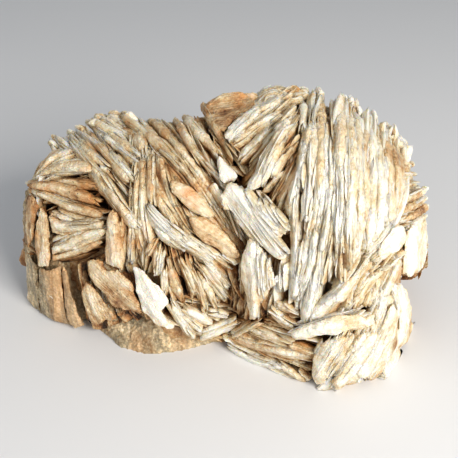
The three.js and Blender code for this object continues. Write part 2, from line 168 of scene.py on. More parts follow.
# Broad single crystals of the show face: lift of the rim, rise of the spine over it, depth to the
# root, tone, and the spine and the outline as (across, up), in mm.
PLATES = {
    "white_plate": Plate(
        5, 1.0, 9, 0.9, ((-33.5, -18), (-28.5, -29), (-24.5, -35)),
        ((-36, -14), (-33.5, -14.5), (-30.5, -18.5), (-26.5, -21), (-23.5, -25), (-22.5, -27.5),
         (-26, -30.5), (-23.5, -34), (-20, -37), (-22.5, -37.5), (-27.5, -35.5), (-30.5, -32),
         (-32, -31.5), (-34.5, -24))),
    "tan_plate": Plate(
        5, 1.2, 9, -0.8, ((-50.5, -14.5), (-43.5, -21), (-35.5, -29)),
        ((-53.5, -12), (-51, -11), (-47.5, -12), (-46.5, -15.5), (-42, -15.5), (-38.5, -18.5),
         (-36, -21), (-35.5, -24), (-34, -26.5), (-32.5, -32), (-40, -30), (-43.5, -29),
         (-46.5, -24), (-50.5, -21), (-52.5, -17))),
    "low_tan_plate": Plate(
        4, 1.0, 9, -0.7, ((-53.5, -22.5), (-49.5, -32)),
        ((-55.5, -23.5), (-53.5, -19.5), (-51.5, -21), (-49, -24), (-45.5, -29), (-41.5, -33.5),
         (-44, -34.5), (-46.5, -33.5), (-48.5, -36), (-51, -36), (-53.5, -30.5))),
    "left_shard": Plate(
        2, 1.5, 9, -0.3, ((-70, 6), (-70, -11.5)),
        ((-70.5, 8), (-68.5, 6), (-67.5, 3), (-67, -9), (-67.5, -14.5), (-71.5, -14), (-73, -5),
         (-72.5, 1.5), (-71, 4.5))),
    "left_edge_shard": Plate(
        1, 1.2, 8, -1.2, ((-74.5, 11), (-75, -2.5)),
        ((-75.5, 13.5), (-73.5, 12.5), (-71, 8.5), (-72.5, 4), (-73.5, -3.5), (-75, -7.5),
         (-76.5, -2.5), (-76.5, 7))),
    "post": Plate(
        4, 2.0, 10, -0.1, ((-44, 6), (-43.5, -12)),
        ((-44, 8), (-42, 5.5), (-41, 0.5), (-40, -5), (-39, -11.5), (-40, -15.5), (-43.5, -14.5),
         (-46, -13), (-46, -5), (-45.5, 3))),
    "pair_upper": Plate(
        2, 1.5, 9, -0.1, ((-65, -8), (-47.5, -0.5)),
        ((-66.5, -7), (-58.5, -2.5), (-52, -0.5), (-46, 0.5), (-45.5, -1), (-48, -3.5),
         (-54.5, -6.5), (-62.5, -8.5), (-66.5, -9.5))),
    "pair_lower": Plate(
        1.5, 1.2, 9, -0.4, ((-65, -11), (-49, -5)),
        ((-66.5, -10), (-60, -8.5), (-53, -5.5), (-47.5, -4), (-47.5, -5), (-51.5, -7.5),
         (-57.5, -10), (-66.5, -12))),
    "arch_upper": Plate(
        1.5, 1.5, 9, -0.3, ((-69.5, 21.5), (-62.5, 23.5), (-53, 23)),
        ((-72.5, 19.5), (-68, 23), (-62.5, 25), (-55.5, 25.5), (-52, 24.5), (-50.5, 21.5),
         (-54.5, 21.5), (-62.5, 22), (-69.5, 20))),
    "arch_middle": Plate(
        2.5, 1.5, 10, -0.9, ((-73.5, 16.5), (-64, 15.5), (-53, 11.5)),
        ((-76.5, 16.5), (-70.5, 17.5), (-64, 17.5), (-57.5, 15.5), (-52, 13), (-49.5, 9.5),
         (-57.5, 11), (-65.5, 13.5), (-73.5, 15.5))),
    "arch_lower": Plate(
        2.5, 1.5, 10, -0.6, ((-72, 13.5), (-61.5, 9), (-49.5, 5.5)),
        ((-75, 14.5), (-69, 13.5), (-61.5, 10.5), (-54.5, 9), (-47.5, 6), (-47, 4), (-53, 5),
         (-61, 7.5), (-69, 11))),
    "arch_foot": Plate(
        2, 1.5, 10, -0.3, ((-66, 2), (-58.5, 0), (-49, 2)),
        ((-68, 5), (-64, 3.5), (-58.5, 2), (-52, 2.5), (-46.5, 3.5), (-47.5, 0.5), (-54.5, -0.5),
         (-62.5, -2.5), (-66.5, -1))),
    "white_patch": Plate(
        4, 0.8, 9, 1.1, ((-3.5, 26), (0.5, 20)),
        ((-4.5, 26), (-3.5, 27.5), (-1.5, 24.5), (1, 22.5), (3.5, 19.5), (2, 18), (0, 18.5),
         (-1.5, 17), (-3.5, 18.5), (-4, 22.5))),
    "centre_plate": Plate(
        5, 2.2, 11, 0.3, ((0.5, 15.5), (7.5, 6.5), (18.5, -9)),
        ((0.5, 18), (2.5, 17), (7.5, 13), (14, 9), (18, 6.5), (22, 1), (21.5, -3), (17, 0.5),
         (22, -11), (18.5, -11.5), (12.5, -7), (7.5, -3), (3.5, 2.5), (1, 7.5), (-2, 7.5),
         (-3, 12.5), (-1.5, 15.5))),
    "vee_spear": Plate(
        4, 2.0, 10, 0.3, ((21, 39.5), (17, 29), (9, 16.5)),
        ((21.5, 42), (23.5, 41), (22, 36), (20, 29), (18, 24), (14.5, 18.5), (10, 14.5),
         (6.5, 14.5), (7.5, 18), (10.5, 22), (13, 27.5), (15.5, 33), (18, 38.5))),
    "vee_plate": Plate(
        2, 1.2, 9, 0.4, ((10, 44), (0.5, 35.5)),
        ((10, 46), (12.5, 44.5), (7.5, 40), (4.5, 36), (0.5, 33), (-2, 35), (1, 39.5), (5, 42.5))),
    "ochre_block": Plate(
        1, 2.5, 10, -0.5, ((-7, 46), (4.5, 47.5)),
        ((-10, 46), (-7, 48), (-1.5, 51), (4.5, 51.5), (7.5, 49.5), (10, 47.5), (8.5, 45),
         (4.5, 43.5), (1, 40), (-2, 36), (-5.5, 38), (-8.5, 42))),
    "tan_leaf": Plate(
        4, 1.2, 9, -0.6, ((-12.5, 3), (2, -8)),
        ((-14.5, 5), (-11, 5), (-7, 3.5), (-3.5, 0), (0, -3.5), (2.5, -7), (4.5, -10), (3, -11.5),
         (-1, -10.5), (-4.5, -7), (-8.5, -5.5), (-11.5, -3.5), (-13.5, -0.5), (-14.5, 3))),
    "small_leaf": Plate(
        3, 1.2, 9, -0.5, ((-19, 15), (-9, 7)),
        ((-22, 18.5), (-18.5, 17.5), (-14.5, 16), (-12, 14), (-8.5, 9.5), (-5, 4.5), (-9.5, 4.5),
         (-13.5, 6.5), (-16, 8.5), (-19, 11.5), (-21.5, 14))),
    "kite": Plate(
        5, 2.5, 10, 0.6, ((8, -6), (9, -17.5), (9.5, -31.5)),
        ((7.5, -3.5), (10.5, -4.5), (12.5, -8), (14.5, -13), (17, -17.5), (17.5, -20.5),
         (14, -24.5), (11.5, -28.5), (10, -35), (8, -32.5), (7, -28.5), (6, -22.5), (4.5, -17.5),
         (5, -10))),
    "cross_blade": Plate(
        6, 2.0, 9, 0.7, ((24.5, -40), (35.5, -37), (52.5, -34.5)),
        ((22.5, -39.5), (27.5, -36.5), (33.5, -34.5), (40.5, -32.5), (47, -32), (51, -33),
         (54.5, -32), (54.5, -35.5), (51, -37), (45, -37.5), (40.5, -39.5), (35.5, -39.5),
         (29.5, -41), (25, -42))),
    "block_left": Plate(
        3, 2.5, 10, 0.3, ((33.5, -54.5), (41.5, -42)),
        ((31.5, -48), (34.5, -43), (40.5, -40), (45, -40.5), (43, -46), (38.5, -54.5),
         (35.5, -58.5), (32.5, -58.5), (31, -54.5))),
    "block_middle": Plate(
        3, 2.2, 10, 0.1, ((41, -58), (54, -40.5)),
        ((38.5, -57.5), (45, -48), (50, -41), (55, -38), (56, -40), (51, -50.5), (47, -55.5),
         (40.5, -60.5))),
    "block_right": Plate(
        3, 2.2, 10, 0.3, ((50, -54), (61, -30.5)),
        ((47, -54.5), (53, -45), (59.5, -30.5), (61.5, -27.5), (63.5, -32.5), (61.5, -40),
         (56, -50.5), (51, -56.5))),
    "right_end": Plate(
        0.5, 1.0, 10, 0.5, ((70.5, 1), (70, -14)),
        ((66.5, -1), (69.5, 2.5), (74, 4), (74.5, -5), (74, -11), (72, -16), (67.5, -18),
         (64.5, -16.5), (65.5, -9))),
    "chain_head": Plate(
        3.5, 1.6, 9, 0.4, ((57.5, -8.5), (64, -1.5)),
        ((57, -5), (61.5, 0.5), (65.5, 1.5), (66.5, -3), (63.5, -8), (58, -10), (55, -11))),
}

# Those whose faces are bundles of fine laths; the others are smooth.
FIBROUS = (
    "centre_plate", "kite", "vee_spear", "vee_plate", "pair_upper", "pair_lower", "arch_upper",
    "arch_middle", "arch_lower", "arch_foot", "block_left", "block_middle", "block_right",
)

# Broken faces of the massive left end, in the same way.
SLABS = {
    "slab_left_facet": Plate(
        0.5, 1.2, 9, -0.5, ((-74, -13), (-73, -29)),
        ((-75.5, -8), (-72, -14.5), (-71.5, -22.5), (-71, -30.5), (-73.5, -32), (-75, -27.5),
         (-76, -19.5))),
    "slab_middle_facet": Plate(
        0.8, 1.2, 9, -0.4, ((-67, -18), (-65, -31.5)),
        ((-71.5, -14.5), (-67, -15.5), (-63, -13), (-62.5, -21), (-61.5, -30.5), (-59.5, -36),
         (-65.5, -34.5), (-71, -31.5), (-72, -22.5))),
    "slab_right_facet": Plate(
        1.2, 1.2, 9, -1.0, ((-61, -16), (-57.5, -33.5)),
        ((-63, -12), (-60.5, -16), (-59.5, -22.5), (-57, -30.5), (-54.5, -36), (-57.5, -37),
         (-60.5, -33.5), (-62, -25))),
}

Blade = namedtuple("Blade", "width lean tone lifts path")
BLADE_DEPTH = 9
BLADE_PITCH = 1.3  # between the laths on an edge
BLADE_STEP = 2.2  # between the sections of a crystal

# Single long crystals of the show face: width of the edge, how far the root lies aside, tone, lift
# at the two ends, and the crest as (across, up), in mm.
BLADES = {
    "comb": (
        Blade(3.4, 0, 0.45, (2, 4), ((31, 41), (28.5, 30), (25.5, 20), (23.5, 10), (23.5, 3.5))),
        Blade(3.8, 0, 0.55, (2.5, 4.5), (
            (31.5, 39.5), (31.5, 28.5), (30, 18.5), (29.5, 10), (28.5, 2.5))),
        Blade(2.6, 0, 0.3, (2, 4), ((29.5, 34.5), (27, 25), (26.5, 15.5))),
        Blade(4, 0, 0.4, (1, 4.5), (
            (33.5, 53), (34.5, 41.5), (34.5, 27), (34, 15.5), (32.5, 5.5), (29.5, -5),
            (25.5, -23))),
        Blade(3.2, 0, 0.3, (1.5, 4), ((25, 18), (24.5, 1), (25, -9), (25, -21))),
        Blade(2.6, 0, 0.2, (1.5, 3.5), (
            (35, 30.5), (35.5, 21.5), (35, 12.5), (33.5, 2.5), (31.5, -9))),
        Blade(3.4, 0, 0.25, (1.5, 4.5), (
            (38, 35.5), (38.5, 27), (38.5, 15.5), (36.5, 1), (34.5, -9))),
        Blade(2.6, 0, 0.1, (0.5, 2.5), ((36, 41), (36, 32), (37, 18.5), (36, 5.5))),
        Blade(4.6, 0, 0.35, (2, 5), (
            (42.5, 50.5), (42, 38), (41.5, 27), (42.5, 17), (42, 5.5), (41, -1.5), (41.5, -9.5))),
        Blade(3, 0, -0.2, (1, 3.5), (
            (39.5, 45), (40, 34.5), (40, 21.5), (40, 10), (38.5, 0), (36.5, -10.5))),
        Blade(3.6, 0, 0.25, (2, 5), (
            (45.5, 50.5), (46, 38), (47, 27), (46, 12.5), (45, -1.5), (45.5, -15))),
        Blade(3.4, 0, 0.3, (1.5, 5), (
            (48, 44), (48.5, 34.5), (48.5, 24), (49.5, 12.5), (49, -1.5), (46.5, -13))),
        Blade(3, 0, 0.1, (1.5, 3.5), (
            (51.5, 44), (51, 32), (51, 23), (51.5, 14), (51.5, 5.5), (50, -4.5))),
        Blade(3.4, 0, 0.4, (1.5, 4.5), (
            (54, 44.5), (54, 32), (54.5, 20), (54, 9), (53.5, 0), (52, -9))),
        Blade(3.4, 0, 0.45, (1.5, 4), (
            (55.5, 38.5), (56.5, 27), (57.5, 15.5), (57, 4), (54.5, -5))),
        Blade(4, 0, 0.5, (1, 3), ((58.5, 40.5), (59.5, 30), (60.5, 20), (61, 9), (60, 2.5))),
        Blade(3.4, 0, 0.45, (0.5, 2.5), (
            (62, 39.5), (63, 28.5), (64, 18.5), (63.5, 9), (62.5, 4))),
        Blade(3.2, 0, 0.4, (0, 1), ((64, 35), (65.5, 28), (66.5, 21.5))),
        Blade(2.4, 0, 0.3, (0.5, 0), ((62.5, 34.5), (67, 32))),
        Blade(2.6, 0, 0.5, (0.5, 0), ((63.5, 29.5), (68.5, 27))),
        Blade(2.4, 0, 0.3, (0.5, 0), ((64, 25.5), (69.5, 24))),
        Blade(2.8, 0, 0.5, (0.5, 0), ((64.5, 21), (70.5, 20.5))),
        Blade(2.4, 0, 0.6, (0.5, 0), ((64.5, 16.5), (70.5, 16.5))),
        Blade(3.6, 0, 0.3, (1, 2), ((31.5, 52.5), (32.5, 46.5), (32.5, 39.5))),
        Blade(2.6, 0, 0.5, (1, 2), ((27.5, 48.5), (28, 45), (27, 38))),
        Blade(3, 0, 0.2, (0.5, 2), ((47.5, 48.5), (47.5, 41.5), (48, 34.5))),
        Blade(3.6, 0, 0.3, (4, 4), ((27, -4.5), (26, -15), (24.5, -27))),
        Blade(3.4, 0, 0.4, (4.5, 4), ((32.5, -0.5), (31.5, -9), (29.5, -17.5), (25, -27.5))),
        Blade(4.2, 0, 0.5, (4.5, 4), ((32.5, -14), (31, -24), (28.5, -35.5))),
        Blade(2.6, 0, 0.2, (4, 3.5), ((36, -4.5), (35, -13.5), (34, -21))),
        Blade(2.8, 0, -0.3, (4, 3.5), ((42.5, -0.5), (42, -9), (42.5, -21))),
        Blade(2.8, 0, 0.35, (4.5, 4), ((45.5, -4.5), (45.5, -16))),
        Blade(2.4, 0, 0.3, (4, 3.5), ((19.5, -13.5), (19.5, -24))),
    ),
    "left": (
        Blade(5, 0, 0, (1, 1), ((-66.5, 35), (-63, 32.5), (-59.5, 29.5))),
        Blade(3, -1, 0.1, (0.5, 1.5), ((-60.5, 37.5), (-57, 35), (-52, 30))),
        Blade(3, -1, -0.1, (0.5, 1.5), ((-57.5, 39), (-52, 35.5), (-47.5, 31))),
        Blade(3.4, -1, 0.1, (0.5, 1.5), ((-53.5, 41), (-48, 37), (-42.5, 33))),
        Blade(4, -1, 0.1, (0.5, 1), ((-50.5, 43), (-44, 40.5), (-38.5, 37))),
        Blade(3.4, -1, 0, (0.5, 1), ((-45, 44), (-40, 42), (-35, 39.5))),
        Blade(3, 0, -0.1, (2, 3), ((-32.5, 27), (-32.5, 17), (-33, 8.5), (-31, -5.5))),
        Blade(3, 0, -0.2, (2, 3), ((-29.5, 28), (-29.5, 17), (-29, 8.5))),
        Blade(3.6, -1.5, -0.5, (2, 3), (
            (-26.5, 28), (-24, 19.5), (-22.5, 13.5), (-20, 7), (-16, -0.5), (-13, -3.5))),
        Blade(3, -1.5, -0.3, (2, 3), ((-27.5, 14.5), (-23.5, 6.5), (-19.5, 0.5))),
        Blade(1.8, 0, -0.2, (2, 2), ((-36.5, 17), (-37, 9), (-37, -5.5), (-37, -13.5))),
        Blade(2, 0, -0.3, (2, 2.5), ((-34.5, 22), (-35, 9), (-34, -8))),
        Blade(4.6, -2, 0.8, (4, 4.5), ((-31.5, 9), (-27, 4), (-22, -1))),
        Blade(5.4, -2, 0.6, (4, 4.5), ((-26.5, 3), (-20, -2), (-14.5, -6.5))),
        Blade(4.8, -2, 0.75, (4.5, 4.5), ((-18, -3.5), (-11.5, -7), (-5, -12))),
        Blade(2.6, -1, 0.3, (3.5, 4), ((-28, 1), (-22, -4.5), (-16, -8))),
        Blade(3.6, -2, 0.1, (3, 3), ((-9.5, -7), (-3.5, -11), (2, -15))),
        Blade(3.6, -2, -0.1, (3.5, 3), ((-9.5, -11), (-4.5, -16), (0, -22.5))),
        Blade(3.4, -1.5, -0.5, (3.5, 3), ((-11.5, -13), (-6, -19), (-0.5, -27))),
        Blade(3, -1, -0.6, (3, 2.5), ((-23, -11.5), (-21, -18), (-17, -27.5))),
        Blade(3.4, -1, -0.5, (3.5, 2.5), ((-18, -11.5), (-14.5, -18), (-12, -25))),
        Blade(3, -1, -0.7, (3.5, 2.5), ((-13.5, -15.5), (-10, -23.5), (-8.5, -32))),
        Blade(2.4, -1, -0.5, (3.5, 2.5), ((-11, -16.5), (-7, -23.5), (-4.5, -30.5))),
        Blade(2.4, 0, 0.7, (2.5, 2), ((-25, -8.5), (-26.5, -17))),
        Blade(2.6, 0, -0.2, (2.5, 2), ((-28, -4), (-31.5, -10.5))),
        Blade(2.2, 0, 0.1, (2.5, 2), ((-27, -6), (-28, -14), (-28, -18))),
        Blade(2.6, 0, -0.1, (2, 2), ((-24.5, -14), (-23.5, -20.5), (-24.5, -25.5))),
        Blade(3.4, 1, 0.5, (2.5, 2), ((-22, -27.5), (-18.5, -34), (-13, -41.5))),
        Blade(3, 1, 0.2, (2, 2), ((-17, -29.5), (-11, -33), (-6, -36))),
        Blade(2.4, 1, -0.1, (2, 2), ((-19, -30.5), (-14.5, -35.5), (-10, -38.5))),
        Blade(2.2, 0, 0.2, (1.5, 1.5), ((-8, -32), (-3.5, -32), (0, -33))),
        Blade(4.2, -2, 0.1, (2, 3.5), (
            (-60, 35.5), (-51.5, 24.5), (-45.5, 16), (-40, 8), (-34, 0))),
        Blade(3.4, -1.5, 0, (2, 3), ((-52, 25), (-49, 19), (-44.5, 12.5), (-41, 6.5))),
        Blade(2.8, -1.5, 0.35, (1, 2), ((-59, 36.5), (-53, 29), (-46, 23.5))),
        Blade(2.6, -1.5, 0.1, (1, 2), ((-55, 38), (-47.5, 30.5), (-40.5, 22), (-37, 18))),
        Blade(3.4, -1.5, 0.15, (1, 2), ((-51.5, 41.5), (-42.5, 34.5), (-34.5, 28))),
        Blade(2.6, -1.5, -0.2, (0.5, 1.5), ((-48, 43), (-41, 39.5), (-34, 35))),
        Blade(4.2, -1.5, -0.1, (1, 1.5), (
            (-40, 44.5), (-36, 41), (-30, 36.5), (-23.5, 30), (-18, 24.5))),
        Blade(2.4, -1.5, 0.1, (1.5, 2), ((-47.5, 36), (-40, 30), (-34.5, 25.5))),
        Blade(2.2, -1.5, 0.2, (1.5, 2), ((-44.5, 30), (-40, 23.5), (-35.5, 19))),
        Blade(5, 0, -0.2, (1.5, 2), ((-35, 41), (-33.5, 34.5), (-33, 28.5))),
        Blade(2.8, -1.5, -0.3, (0.5, 1), ((-30, 41.5), (-26, 39), (-20.5, 32))),
        Blade(3.2, -1.5, -0.4, (0.5, 0), (
            (-27.5, 41.5), (-23.5, 36.5), (-18, 30), (-12.5, 23), (-7, 15.5), (-2, 6), (3, -3))),
        Blade(2.6, -1.5, -0.3, (0.5, 0), (
            (-24, 30.5), (-18.5, 25), (-13, 17.5), (-7, 8.5), (-0.5, -1))),
        Blade(3.6, -1.5, -0.2, (0.5, 1), (
            (-20, 42), (-16.5, 36.5), (-12.5, 28.5), (-8, 24.5), (-3, 19))),
        Blade(3.2, -1.5, -0.1, (0.5, 1), ((-16.5, 43), (-12.5, 37.5), (-6, 31), (-3.5, 28))),
        Blade(2.4, -1.5, -0.5, (0.5, 0.5), (
            (-20, 33), (-16.5, 25.5), (-12.5, 21), (-9, 15.5), (-4, 8), (0.5, 1))),
        Blade(3.4, -1, -0.5, (0.5, 1), ((-9.5, 47.5), (-5.5, 39.5), (-1.5, 32.5), (2.5, 27.5))),
        Blade(3.2, 0, -0.2, (1, 1), ((-72.5, 19.5), (-66, 27.5), (-58, 30))),
        Blade(3.2, 1, 0.2, (1.5, 1.5), ((-73, 18.5), (-64.5, 23.5), (-52.5, 25.5))),
        Blade(3, 1, -0.2, (2, 2), ((-76.5, 17), (-69.5, 16.5), (-62, 14), (-55.5, 12.5))),
        Blade(3.2, 1, -0.9, (1.5, 2), ((-68, 18), (-60.5, 17.5), (-49, 16))),
        Blade(3.4, 1.5, -0.6, (2.5, 2.5), ((-75.5, 14), (-64.5, 12), (-55.5, 9), (-49, 6.5))),
        Blade(2.4, 1, -0.6, (2, 2), ((-63, 12.5), (-55.5, 13.5), (-49, 10))),
        Blade(2.6, 1, -0.4, (2, 2), ((-62.5, 8), (-55, 6.5), (-46, 4.5))),
        Blade(3.2, 1, -0.3, (2, 2.5), ((-67.5, 6), (-60.5, 3.5), (-53, 1.5), (-46, 2))),
        Blade(3.6, 1.5, 0.05, (2, 2.5), ((-66.5, -7), (-58, -2.5), (-46, 0))),
        Blade(2.6, 1.5, -0.2, (1.5, 2), ((-66, -11), (-58, -6.5), (-50.5, -4.5))),
        Blade(3.2, 0, -0.5, (3, 2.5), ((-41, 5), (-40.5, -4), (-41, -14))),
        Blade(2.4, 0, -0.6, (2.5, 2), ((-37.5, -1), (-37, -6.5), (-37.5, -13))),
    ),
    "right": (
        Blade(2.4, 0, 0.7, (0.5, 0), ((64, 10), (69.5, 12.5), (74.5, 15.5))),
        Blade(2.6, 0, 0.6, (0.5, 0), ((63.5, 5.5), (69.5, 9), (74.5, 12))),
        Blade(2.4, 0, 0.3, (0.5, 0), ((65, 3), (70.5, 6), (74.5, 9))),
        Blade(2.8, 0, 0.7, (1, 0), ((66.5, 0), (71.5, 3), (74.5, 5.5))),
        Blade(5, 2, 0.45, (1, 2), ((-1, 35.5), (8, 43), (15.5, 47), (21, 50))),
        Blade(4, 1, 0.2, (0, 0.5), ((9.5, 47), (17, 52), (22, 51.5))),
        Blade(3.6, 1.5, 0.1, (0.5, 1.5), ((0.5, 31.5), (10.5, 38.5), (19.5, 44.5))),
        Blade(2.6, 1.5, -0.2, (0.5, 1.5), ((3, 25.5), (10, 32), (15.5, 38.5))),
        Blade(2.8, 1, 0.1, (0.5, 1), ((21.5, 49.5), (26.5, 51), (30, 51.5))),
        Blade(6.5, 1.5, 0.6, (4, 4), ((64, 0.5), (60.5, -6), (54, -12))),
        Blade(5, 1.5, 0.5, (4, 4), (
            (52.5, -11), (46.5, -19), (41, -25), (33.5, -30), (30.5, -34))),
        Blade(1.5, 0, 0, (4, 4), ((67, -8), (58, -16))),
        Blade(4, 1, 0.3, (3.5, 3.5), ((58, -15), (51, -20), (47.5, -27), (46.5, -31.5))),
        Blade(3, 1, 0.1, (3, 3), ((57, -16.5), (55.5, -22), (52.5, -30))),
        Blade(3.4, 1, 0.2, (3, 3), ((64, -11), (61, -18.5), (57.5, -25), (54, -31.5))),
        Blade(3, 1, 0.2, (3, 3), ((41, -24), (36.5, -30.5), (33, -34))),
        Blade(6.4, 2, 0.4, (3.5, 3), ((45.5, -39), (41, -46.5), (33, -58))),
        Blade(4.4, 1.5, 0.2, (3.5, 3), ((51.5, -38), (46, -47), (39.5, -61))),
        Blade(6.4, 1.5, 0.4, (4, 3.5), ((59, -23.5), (54, -38), (49, -49.5), (43.5, -58))),
        Blade(4.6, 1.5, 0.3, (3, 3), ((61, -35.5), (56, -49.5), (52.5, -57))),
        Blade(6.5, 0, 0.7, (2.5, 2.5), ((63, -21), (65.5, -30.5), (66.5, -38), (62.5, -45))),
        Blade(5, 0, 0.6, (2, 2), ((62.5, -43), (62, -50), (58, -56.5))),
        Blade(2.4, 0, 0.9, (1, 1.5), ((-1.5, -43.5), (8.5, -49.5), (19.5, -52.5))),
        Blade(3.6, 0, 0, (1.5, 2), ((1.5, -40.5), (10.5, -44), (21.5, -46.5), (32.5, -48))),
        Blade(3.8, 0, 0.15, (2, 2), ((6.5, -37.5), (16.5, -40.5), (23.5, -44))),
        Blade(3, 0, -0.2, (1, 1.5), ((18, -50), (23.5, -53.5), (29.5, -58))),
        Blade(2.6, 0, -0.8, (2, 2.5), ((21.5, -43), (32.5, -47))),
        Blade(3, 0, 0.2, (2, 2), ((14.5, -30), (21, -35), (26, -38))),
        Blade(2.6, 0, -0.1, (2, 2.5), ((16.5, -27.5), (21.5, -30), (26, -32.5))),
        Blade(3.2, 0, 0.3, (1.5, 1.5), ((-11, -41.5), (-3.5, -38), (3, -35.5))),
        Blade(1.3, 0, 0, (3, 3), ((0.5, -41), (11, -35.5))),
    ),
}

# The edge of the corner broken away under the right end: (across, up), in mm.
BROKEN_CORNER = ((66, -24), (74, -15.5), (100, -10))

# Sheaves of the back: angles around and up in degrees, half length of the spine they spread from
# in mm and its height as a share of the top, length and width of a sheaf, and the first's number.
BACK_AROUND = (24, 48, 72, 96, 120, 142)
BACK_UP = (4, 36, 66)
BACK_SPINE = 45
BACK_SPINE_RISE = 0.22
BACK_SIZE = (36, 20)
BACK_NUMBER = 200

# Low laths between them: patches, laths in a patch, and the angles that the patches spread over.
GROUND_PATCHES = 130
GROUND_LATHS = 6
GROUND_AROUND = (-20, 172)
GROUND_UP = (2, 84)

# Corners of the bare massive blocks, in mm, and how far their striae are drawn out upwards.
BROKEN_BLOCKS = {
    "left_end_slab": (0.16, (
        (-80, 2, 0), (-60, -13, 0), (-66, -5, 37), (-78, 6, 41), (-79, 18, 44), (-45, 10, 0),
        (-45, 14, 40), (-78, 24, 0))),
    "foot_slab": (0.8, (
        (-52, -12, 0), (-41, -24, 0), (-30, -28, 0), (-18, -26, 0), (-5, -21, 0), (-46, -14, 10),
        (-30, -22, 11), (-12, -20, 7), (-40, 10, 14), (0, 10, 12), (-50, 10, 0), (0, 10, 0))),
}

# Cross-sections of a broad lath and of a splinter, as shares of depth and thickness from the crest
# round, with the corners that make an edge, and the places of the sections along it.
LATH = {
    "ring": (
        (0, 0.1), (0.2, 0.38), (0.6, 0.5), (1, 0.4), (1, -0.4), (0.6, -0.5), (0.2, -0.38),
        (0, -0.1)),
    "edges": (0, 1, 6, 7),
    "sections": (0, 0.06, 0.16, 0.3, 0.44, 0.58, 0.72, 0.86, 0.95, 1),
}
SPLINTER = {
    "ring": ((0, 0), (0.4, 0.5), (1, 0.3), (1, -0.3), (0.4, -0.5)),
    "edges": (0, 1, 4),
    "sections": (0, 0.15, 0.4, 0.65, 0.88, 1),
}
TIP_BREADTH = 0.08  # of a lath's thickness

# Chance sizes of the laths on a sheaf, in mm and degrees; a lift has a mean, a spread and limits.
OVERHANG = 0.02  # past the sheaf's ends and sides, as a share of it
LATH_LIFT = (-1.4, 0.9, -3.5, 0.5)
LATH_KINDS = (0.45, 0.8, 1.2)  # thin, usual and thick, as shares of the pitch
LATH_CHANCES = (0.35, 0.45, 0.2)
LATH_LEAN = 12
SPLINTER_LIFT = (-0.9, 0.9, -3.0, 0.6)
SPLINTER_LENGTH = (4, 16)
SPLINTER_SIZE = ((0.5, 1.2), (2.0, 4.0))  # thickness and depth
SPLINTER_LEAN = 20
TONE_SPREAD = 0.25
FACE_TONE_SPREAD = 0.12  # on a broad crystal

# The same for the thin laths on a long crystal's edge, and for the low ones on the back.
EDGE_LENGTH = (7, 22)
EDGE_SIZE = ((0.8, 1.7), (3, 4.5))
EDGE_LEAN = 15
EDGE_TONE_SPREAD = 0.15
GROUND_LIFT = (-4, -1.2)
GROUND_THICKNESS = (1.2, 2.8)
GROUND_DEPTH = 6
GROUND_LEAN = 15

# Relief of a crystal's skin: how far its striae are drawn out, and its height in mm.
SKIN_STRETCH = 0.2
SKIN_RELIEF = 0.9
HIGHLIGHT_DEPTH_SCALE = 4  # mm below the crest that sets how soon a crystal's painted edge highlight fades to its usual colour
GRAIN_APART = 37  # mm between the grains of two crystals


def sway(a, b):
    """The part's repeatable number from -1 to 1 for a pair of whole numbers."""
    wave = math.sin(a * 127.1 + b * 311.7) * 43758.5453
    return 2 * (wave - math.floor(wave)) - 1


def unit(vector):
    """A vector's direction."""
    return vector / np.linalg.norm(vector)


def span(first, last):
    """The distance between two points."""
    return np.linalg.norm(first - last)


def turned_about(vector, axis, angle):
    """A vector turned about an axis."""
    return np.array(Quaternion(Vector(axis), angle) @ Vector(vector))


def form_at(x):
    """The form's front, back and top at places along it."""
    return (np.interp(x, STATIONS[:, 0], STATIONS[:, k]) for k in (1, 2, 3))


def outness(points):
    """How far out points lie in the overall form: 1 is on its surface."""
    points = np.asarray(points, float)
    x = np.clip(points[..., 0], STATIONS[0, 0], STATIONS[-1, 0])
    front, back, top = form_at(x)
    across = np.abs((points[..., 1] - (front + back) / 2) / ((back - front) / 2)) ** SQUARENESS
    up = np.abs(points[..., 2] / top) ** SQUARENESS
    return (across + up) ** (1 / SQUARENESS) + np.abs(points[..., 0] - x) / END_ROUNDING


def depth_in_form(points):
    """About how far points lie under the overall form's surface, in mm."""
    return (1 - outness(points)) * FORM_RADIUS


def outward(point):
    """The overall form's outward direction at a point."""
    steps = np.eye(3) * 0.5
    return unit(outness(point + steps) - outness(point - steps))


def meet_form(start, direction):
    """The first place on the overall form along a line, or the line's nearest pass."""
    points = start + SIGHT[:, None] * direction
    out = outness(points)
    inside = np.nonzero(out < 1)[0]
    return points[inside[0] if len(inside) else out.argmin()]


def on_show_face(place):
    """A place on the show face, (across, up, lift), as a point in mm."""
    across, up, lift = place
    card = FACE_MIDDLE + CARD_UP * up + np.array((across, 0, 0))
    sight = unit(EYE - card)
    return meet_form(card, sight) + sight * lift


def show_crest(first, last):
    """A function from a share across a show sheaf, a share along it and a lift to a point."""
    ends = np.array((first, last), float)

    def crest_at(share, step, lift):
        start, end = ends[0] + (ends[1] - ends[0]) * share
        return on_show_face(start + (end - start) * step + np.array((0, 0, lift)))

    return crest_at


def back_crest(around, up, number):
    """The same for a sheaf on the back, by its angles around and up."""
    turned, raised = math.radians(around), math.radians(up)
    level = math.cos(raised)
    out = np.array((level * math.cos(turned), level * math.sin(turned), math.sin(raised)))
    x = BACK_SPINE * math.cos(turned)
    front, back, top = form_at(x)
    centre = meet_form(np.array((x, (front + back) / 2, BACK_SPINE_RISE * top)), out)
    face = outward(centre)
    level_way = unit(np.array((1.0, 0, 0)) - face * face[0])
    along = turned_about(level_way, face, math.pi * sway(number, 0))
    across = np.cross(face, along)
    long, wide = BACK_SIZE

    def crest_at(share, step, lift):
        at = centre + along * (step - 0.5) * long + across * (share - 0.5) * wide
        return meet_form(at, face) + face * lift

    return crest_at


